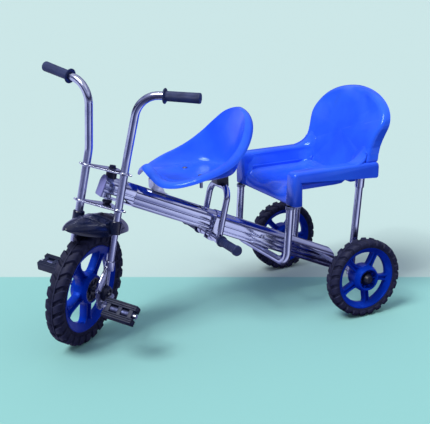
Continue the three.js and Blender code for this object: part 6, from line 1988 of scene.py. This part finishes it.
    def section(self) -> list[Strand]:
        """Draws half of the tub's section, from its middle out over an arm.

        Returns:
            Its strands in order.
        """
        (wide, rise), heel, gusset, r = self.cove, self.heel, self.gusset, self.arm_edge
        flat, high = self.pan_half - wide, self.arm_top - r
        made = [Strand(flat * k / 8, self.pan_top, (0.0, 1.0), heel, 1.0) for k in range(8)]
        for k in range(13):
            t = pi / 2 * k / 12
            way = Vector((-rise * sin(t), wide * cos(t))).normalized()
            y, z = flat + wide * sin(t), self.pan_top + rise * (1 - cos(t))
            made.append(Strand(y, z, tuple(way), heel, 1.0))
        low, top = (self.pan_half, self.pan_top + rise), (self.arm_inner_top - 1.5, high)
        for k in range(1, 6):
            t = k / 5
            made.append(Strand(*between(low, top, t, t), (-1.0, 0.0), between(heel, gusset, t * 0.4, t * 0.2)))
        for k in range(1, 9):
            t = pi / 2 * k / 8
            y, z = top[0] + r * (1 - cos(t)), high + r * sin(t)
            blend = between(heel, gusset, 0.4 + 0.6 * k / 8, 0.2 + 0.8 * k / 8)
            made.append(Strand(y, z, (-cos(t), sin(t)), blend))
        inner, outer, edge = top[0] + r, self.arm_outer - r, self.gusset_edge
        for k in range(1, 9):
            share = eased(k / 8)
            blend = between(gusset, edge, share, share)
            made.append(Strand(mix(inner, outer, k / 8), self.arm_top, (0.0, 1.0), blend, hidden=1.0))
        for k in range(1, 8):
            t = pi / 2 * k / 7
            y, z = outer + r * sin(t), high + r * cos(t)
            made.append(Strand(y, z, (-0.3, 1.0), edge, hidden=1.0))
        made.append(Strand(self.arm_outer - 0.6, high - 6, (-0.05, 0.0), edge, hidden=1.0))
        return made

    def tub(self) -> Draft:
        """Builds the pan, its coves, the arms' inner faces and the corners that sweep up into the back.

        Returns:
            The tub's draft, as an open skin.
        """
        section = self.section()
        full = [(s, -1.0) for s in reversed(section[1:])] + [(s, 1.0) for s in section]
        rows = [[self.blended(s, sign, radians(turn)) for s, sign in full] for turn in self.sweep]
        rows += [[self.levelled(s, sign, k / 10) for s, sign in full] for k in range(1, 11)]
        rows += [[self.rolled(s, sign, along, fall) for s, sign in full] for along, fall in self.roll]
        made = Draft(self.layout.ground())
        made.sheet(rows)
        return made

    def blended(self, strand: Strand, sign: float, turn: float) -> Space:
        """Finds a point of the corner that sweeps up into the back.

        Args:
            strand: The strand it is on.
            sign: 1 on the left, -1 on the right.
            turn: How far the sweep has turned, from 0 at the level run to a right angle at the back.

        Returns:
            The point.
        """
        (reach, height), lift = strand.blend, 1 - cos(turn)
        out, deeper = 1 - sin(turn), -0.2 if turn == radians(90) else 0.0
        y, z = strand.y + strand.way[0] * height * lift, strand.z + strand.way[1] * height * lift
        rise = unit((z - self.arm_top) / (self.neck[1] - self.arm_top))
        widest = mix(self.foot_half, self.neck[0], rise) - self.gusset_inside
        y -= max(0.0, y - widest) * lift
        z -= self.lap * strand.hidden * max(0.0, 1 - lift * 12)
        return (self.face(z) + reach * out + self.hollow(y, z) * (1 - out) + deeper, sign * y, z)

    def waved(self, y: float) -> float:
        """How deep the front edge's two thigh waves are at a distance from the middle."""
        depth, middle, spread = self.wave
        return depth * exp(-(((abs(y) - middle) / spread) ** 2))

    def levelled(self, strand: Strand, sign: float, share: float) -> Space:
        """Finds a point of the level run, from the sweep's start to where the front starts to roll.

        Args:
            strand: The strand it is on.
            sign: 1 on the left, -1 on the right.
            share: How far along the run.

        Returns:
            The point.
        """
        start, (depth, half) = self.face(strand.z) + strand.blend[0], self.pan_dish
        relief = self.waved(strand.y) * max(0.0, share - 0.5) / 0.5
        dish = depth * max(0.0, 1 - (strand.y / half) ** 2) * sin(pi * share)
        down = (relief + dish) * strand.rolls + self.lap * strand.hidden
        return (mix(start, self.roll_start, share), sign * strand.y, strand.z - down)

    def rolled(self, strand: Strand, sign: float, along: float, fall: float) -> Space:
        """Finds a point of the front that rolls down between the legs.

        Args:
            strand: The strand it is on.
            sign: 1 on the left, -1 on the right.
            along: How far forward in the roll.
            fall: How far down in it.

        Returns:
            The point.
        """
        y, z, rolls, hidden = strand.y, strand.z, strand.rolls, strand.hidden
        aside = 5.0 * min(1.0, along * 1.6) * (1 - rolls) * (1 - hidden)
        if rolls and abs(y) > self.pan_half - 0.1:
            aside = 4.0 * min(1.0, along * 1.6)
        end = self.roll_end - max(0.0, z - self.skirt_front + 6) * 0.62 * (1 - rolls)
        down = (self.waved(y) * (1 - fall) + (z - self.roll_bottom) * fall) * rolls + self.lap * hidden
        return (mix(self.roll_start, end, along), sign * (y + aside), z - down)

    def build(self) -> None:
        """Builds the back, the tub and both arms."""
        ground = self.layout.ground()
        self.back().piece("rear_seat", "back", SEAT_BLUE, sharp=50)
        tub = self.tub().piece("rear_seat", "tub", SEAT_BLUE, sharp=60)
        target = ground @ Vector((self.pan_middle, 0.0, self.pan_top))
        middle = min(tub.data.polygons, key=lambda f: (f.center - target).length)
        self.walled(tub, -1.0 if middle.normal.z > 0 else 1.0)
        for side, mirror in sides():
            place = ground @ mirror
            arm = self.arm(place).piece("rear_seat", "arm_" + side, SEAT_BLUE, sharp=50)
            self.walled(arm, -1.0)
            self.rib(place).piece("rear_seat", "rib_" + side, SEAT_BLUE)

    def rib(self, place: Matrix) -> Draft:
        """Builds the rib along one side of the pan, which closes the corner below its cove.

        Args:
            place: The place of the rib's side of the ground.

        Returns:
            The rib's draft.
        """
        top, low, rear, front = self.pan_top + self.cove[1], self.rib_bottom, self.rib_rear, self.rib_front
        outline = [
            (rear, top), (rear + 5, low + 11), (rear + 20, low + 1.5), (rear + 40, low), (front, low),
            (front, top),
        ]
        made = Draft(place)
        made.prism(Axis.Y, fillet(outline, 6, 4), self.rib_y - self.wall, self.rib_y, edge=1.2)
        return made

    def walled(self, piece: bpy.types.Object, side: float) -> None:
        """Gives an open skin the seat's wall.

        Args:
            piece: The skin's object.
            side: 1 or -1, for the side of the skin that the wall grows on.
        """
        made = piece.modifiers.new("wall", "SOLIDIFY")
        made.thickness = self.wall * MM
        made.offset = side
        made.use_even_offset = False


# ---------------------------------------------------------------- studio


@dataclass
class Studio:
    """The camera, lamps and pale floor."""

    layout: Layout
    azimuth: float = 154.85
    elevation: float = 16.29
    roll: float = -1.73
    distance: float = 2098.35
    target: Space = (312.73, 0.0, 267.41)
    focal_px: float = 829.07
    picture_px: float = 430.0
    line_px: float = 65.0
    near_floor: str = "#92C9C3"
    far_floor: str = "#BDD4CE"
    backdrop: str = "#D7F3F4"
    unseen_floor: str = "#7C80A0"
    sensor: float = 36.0
    floor_half: float = 60.0
    line_blur: float = 0.0015
    glow: float = 0.88
    suns: tuple[tuple[str, float, float, float, float], ...] = (
        ("key", 108.0, 56.0, 2.15, 26.0), ("glint", 116.0, 48.0, 0.25, 3.5), ("fill", 205.0, 40.0, 0.12, 40.0),
    )

    def axes(self) -> tuple[Vector, Vector, Vector]:
        """Finds how the camera is turned.

        Returns:
            Its right, up and back directions.
        """
        a, e, r = (radians(v) for v in (self.azimuth, self.elevation, self.roll))
        back = Vector((sin(a) * cos(e), -cos(a) * cos(e), sin(e)))
        right = Vector((cos(a), sin(a), 0))
        up = back.cross(right)
        return right * cos(r) + up * sin(r), up * cos(r) - right * sin(r), back

    def spot(self) -> Vector:
        """Where the camera stands, in the row's frame."""
        return self.layout.ground() @ Vector(Vector(self.target) + self.axes()[2] * self.distance)

    def camera(self) -> None:
        """Sets the camera at the photograph's place."""
        data = bpy.data.cameras.new("camera")
        data.sensor_fit, data.sensor_width = "HORIZONTAL", self.sensor
        data.lens = self.focal_px / self.picture_px * self.sensor
        data.clip_start, data.clip_end = 0.05, 200.0
        made = bpy.data.objects.new("camera", data)
        bpy.context.scene.collection.objects.link(made)
        right, up, back = self.axes()
        turn = Matrix((right, up, back)).transposed().to_4x4()
        made.matrix_world = Matrix.Translation(self.spot()) @ turn
        bpy.context.scene.camera = made

    @staticmethod
    def ramp(
        tree: bpy.types.NodeTree, source: bpy.types.NodeSocket, stops: Sequence[tuple[float, str]]
    ) -> bpy.types.NodeSocket:
        """Turns a value from 0 to 1 into a colour.

        Args:
            tree: The node tree that the ramp is added to.
            source: The value.
            stops: The colours, each with its place on the ramp.

        Returns:
            The colour.
        """
        node = add_node(tree, "ShaderNodeValToRGB", links={0: source})
        elements = node.color_ramp.elements
        elements[0].position, elements[0].color = stops[0][0], linear(stops[0][1])
        elements[1].position, elements[1].color = stops[-1][0], linear(stops[-1][1])
        for position, colour in stops[1:-1]:
            elements.new(position).color = linear(colour)
        return node.outputs["Color"]

    def floor(self) -> None:
        """Lays a pale floor in two tones, which the chrome shows as lilac-grey cards with dark gaps."""
        mesh = bpy.data.meshes.new("floor")
        half = self.floor_half
        mesh.from_pydata([(x, y, 0) for x, y in box(-half, -half, half, half)], [], [(0, 1, 2, 3)])
        made = bpy.data.objects.new("floor", mesh)
        bpy.context.scene.collection.objects.link(made)
        finish = bpy.data.materials.new("pale_studio_floor")
        finish.use_nodes = True
        tree = finish.node_tree
        tree.nodes.clear()
        right, up, back = self.axes()
        across = right.cross(-back * self.focal_px - up * self.line_px).normalized()
        across = across if across.dot(Vector((-back.x, -back.y, 0))) > 0 else -across
        place = add_node(tree, "ShaderNodeNewGeometry").outputs["Position"]
        far = add_node(tree, "ShaderNodeVectorMath", {1: tuple(across)}, {0: place}, operation="DOT_PRODUCT")
        line = across.dot(self.spot())
        span = {"From Min": line - self.line_blur, "From Max": line + self.line_blur}
        past = add_node(tree, "ShaderNodeMapRange", span, {"Value": far.outputs["Value"]}).outputs["Result"]
        tones = {6: linear(self.near_floor), 7: linear(self.far_floor)}
        tone = add_node(tree, "ShaderNodeMix", tones, {0: past}, data_type="RGBA").outputs[2]
        turn = {"Rotation": (0, 0, radians(90 - self.azimuth))}
        turned = add_node(tree, "ShaderNodeMapping", turn, {"Vector": place}).outputs["Vector"]
        wheel = add_node(tree, "ShaderNodeTexGradient", links={"Vector": turned}, gradient_type="RADIAL")
        cards = self.ramp(tree, wheel.outputs["Fac"], [
            (0.0, "#8286B0"), (0.1, "#B9BCE0"), (0.2, "#D0D3EE"), (0.3, "#E6E8FA"), (0.35, "#B0B4DA"),
            (0.39, "#2C2A44"), (0.43, "#3E4060"), (0.49, "#62668C"), (0.55, "#888CB0"), (0.6, "#DADDF6"),
            (0.66, "#E2E5FA"), (0.7, "#5A5C84"), (0.75, "#1E1B30"), (0.81, "#3A3858"), (0.9, "#9A9EC8"),
            (1.0, "#8286B0"),
        ])
        path = add_node(tree, "ShaderNodeLightPath").outputs
        plain, shown = {6: linear(self.unseen_floor)}, {0: path["Is Glossy Ray"], 7: cards}
        unseen = add_node(tree, "ShaderNodeMix", plain, shown, data_type="RGBA").outputs[2]
        shown = {0: path["Is Camera Ray"], 6: unseen, 7: tone}
        colour = add_node(tree, "ShaderNodeMix", links=shown, data_type="RGBA").outputs[2]
        shader = add_node(tree, "ShaderNodeBsdfDiffuse", links={"Color": colour})
        add_node(tree, "ShaderNodeOutputMaterial", links={"Surface": shader.outputs[0]})
        mesh.materials.append(finish)

    def sun(self, name: str, azimuth: float, elevation: float, strength: float, angle: float) -> None:
        """Hangs a soft far lamp.

        Args:
            name: The lamp's name.
            azimuth: Its side, turned like the camera's.
            elevation: Its height above the horizon, in degrees.
            strength: Its power.
            angle: How wide it is, in degrees.
        """
        data = bpy.data.lights.new(name, "SUN")
        data.energy, data.angle = strength, radians(angle)
        made = bpy.data.objects.new(name, data)
        bpy.context.scene.collection.objects.link(made)
        a, e = radians(azimuth), radians(elevation)
        way = Vector((sin(a) * cos(e), -cos(a) * cos(e), sin(e)))
        made.location = way * 5
        made.rotation_mode = "QUATERNION"
        made.rotation_quaternion = way.to_track_quat("Z", "Y")

    def world(self) -> None:
        """Lights the studio: evenly for what is matt, and with banded cards for what is glossy."""
        world = bpy.data.worlds.new("studio")
        bpy.context.scene.world = world
        world.use_nodes = True
        tree = world.node_tree
        tree.nodes.clear()
        way = add_node(tree, "ShaderNodeTexCoord").outputs["Generated"]
        height = add_node(tree, "ShaderNodeSeparateXYZ", links={0: way}).outputs["Z"]
        even = [(0.0, "#8C90A8"), (0.35, "#A8ACC0"), (0.7, "#D4D8E6"), (1.0, "#E4E8F4")]
        soft = self.ramp(tree, height, even)
        cards = self.ramp(tree, height, [
            (0.0, "#A7AAD2"), (0.08, "#8286B0"), (0.16, "#2A2740"), (0.26, "#35345A"), (0.36, "#9A9EC8"),
            (0.5, "#C4C8EC"), (0.6, "#6C70A2"), (0.68, "#A8ACD8"), (0.82, "#E6E8FC"), (1.0, "#F4F5FF"),
        ])
        glossy = add_node(tree, "ShaderNodeLightPath").outputs["Is Glossy Ray"]
        lit = add_node(tree, "ShaderNodeMix", links={0: glossy, 6: soft, 7: cards}, data_type="RGBA").outputs[2]
        seen = add_node(tree, "ShaderNodeLightPath").outputs["Is Camera Ray"]
        far = {7: linear(self.backdrop)}
        colour = add_node(tree, "ShaderNodeMix", far, {0: seen, 6: lit}, data_type="RGBA").outputs[2]
        light = add_node(tree, "ShaderNodeBackground", {"Strength": self.glow}, {"Color": colour})
        add_node(tree, "ShaderNodeOutputWorld", links={"Surface": light.outputs[0]})

    def build(self) -> None:
        """Sets the stage, lamps and camera."""
        self.floor()
        self.world()
        for sun in self.suns:
            self.sun(*sun)
        self.camera()
        bpy.context.scene.view_settings.view_transform = "Standard"


# ---------------------------------------------------------------- the whole


def main() -> None:
    """Builds the tricycle's sub-assemblies in order, then the studio."""
    logging.basicConfig(level=logging.INFO, format="%(name)s: %(message)s")
    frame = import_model()
    layout = Layout({joint["name"]: joint for joint in frame["joints"]})
    tubes = FrameTubes(layout)
    parts = [
        RearWheels(layout), FrontWheel(layout), Pedals(layout), MainBeam(layout), tubes,
        SteeringFork(layout, tubes), Mudguard(layout), FrontSeat(layout), RearSeat(layout),
    ]
    for part in parts:
        part.build()
    Studio(layout).build()
    bpy.context.view_layer.update()


if __name__ == "__main__":
    main()
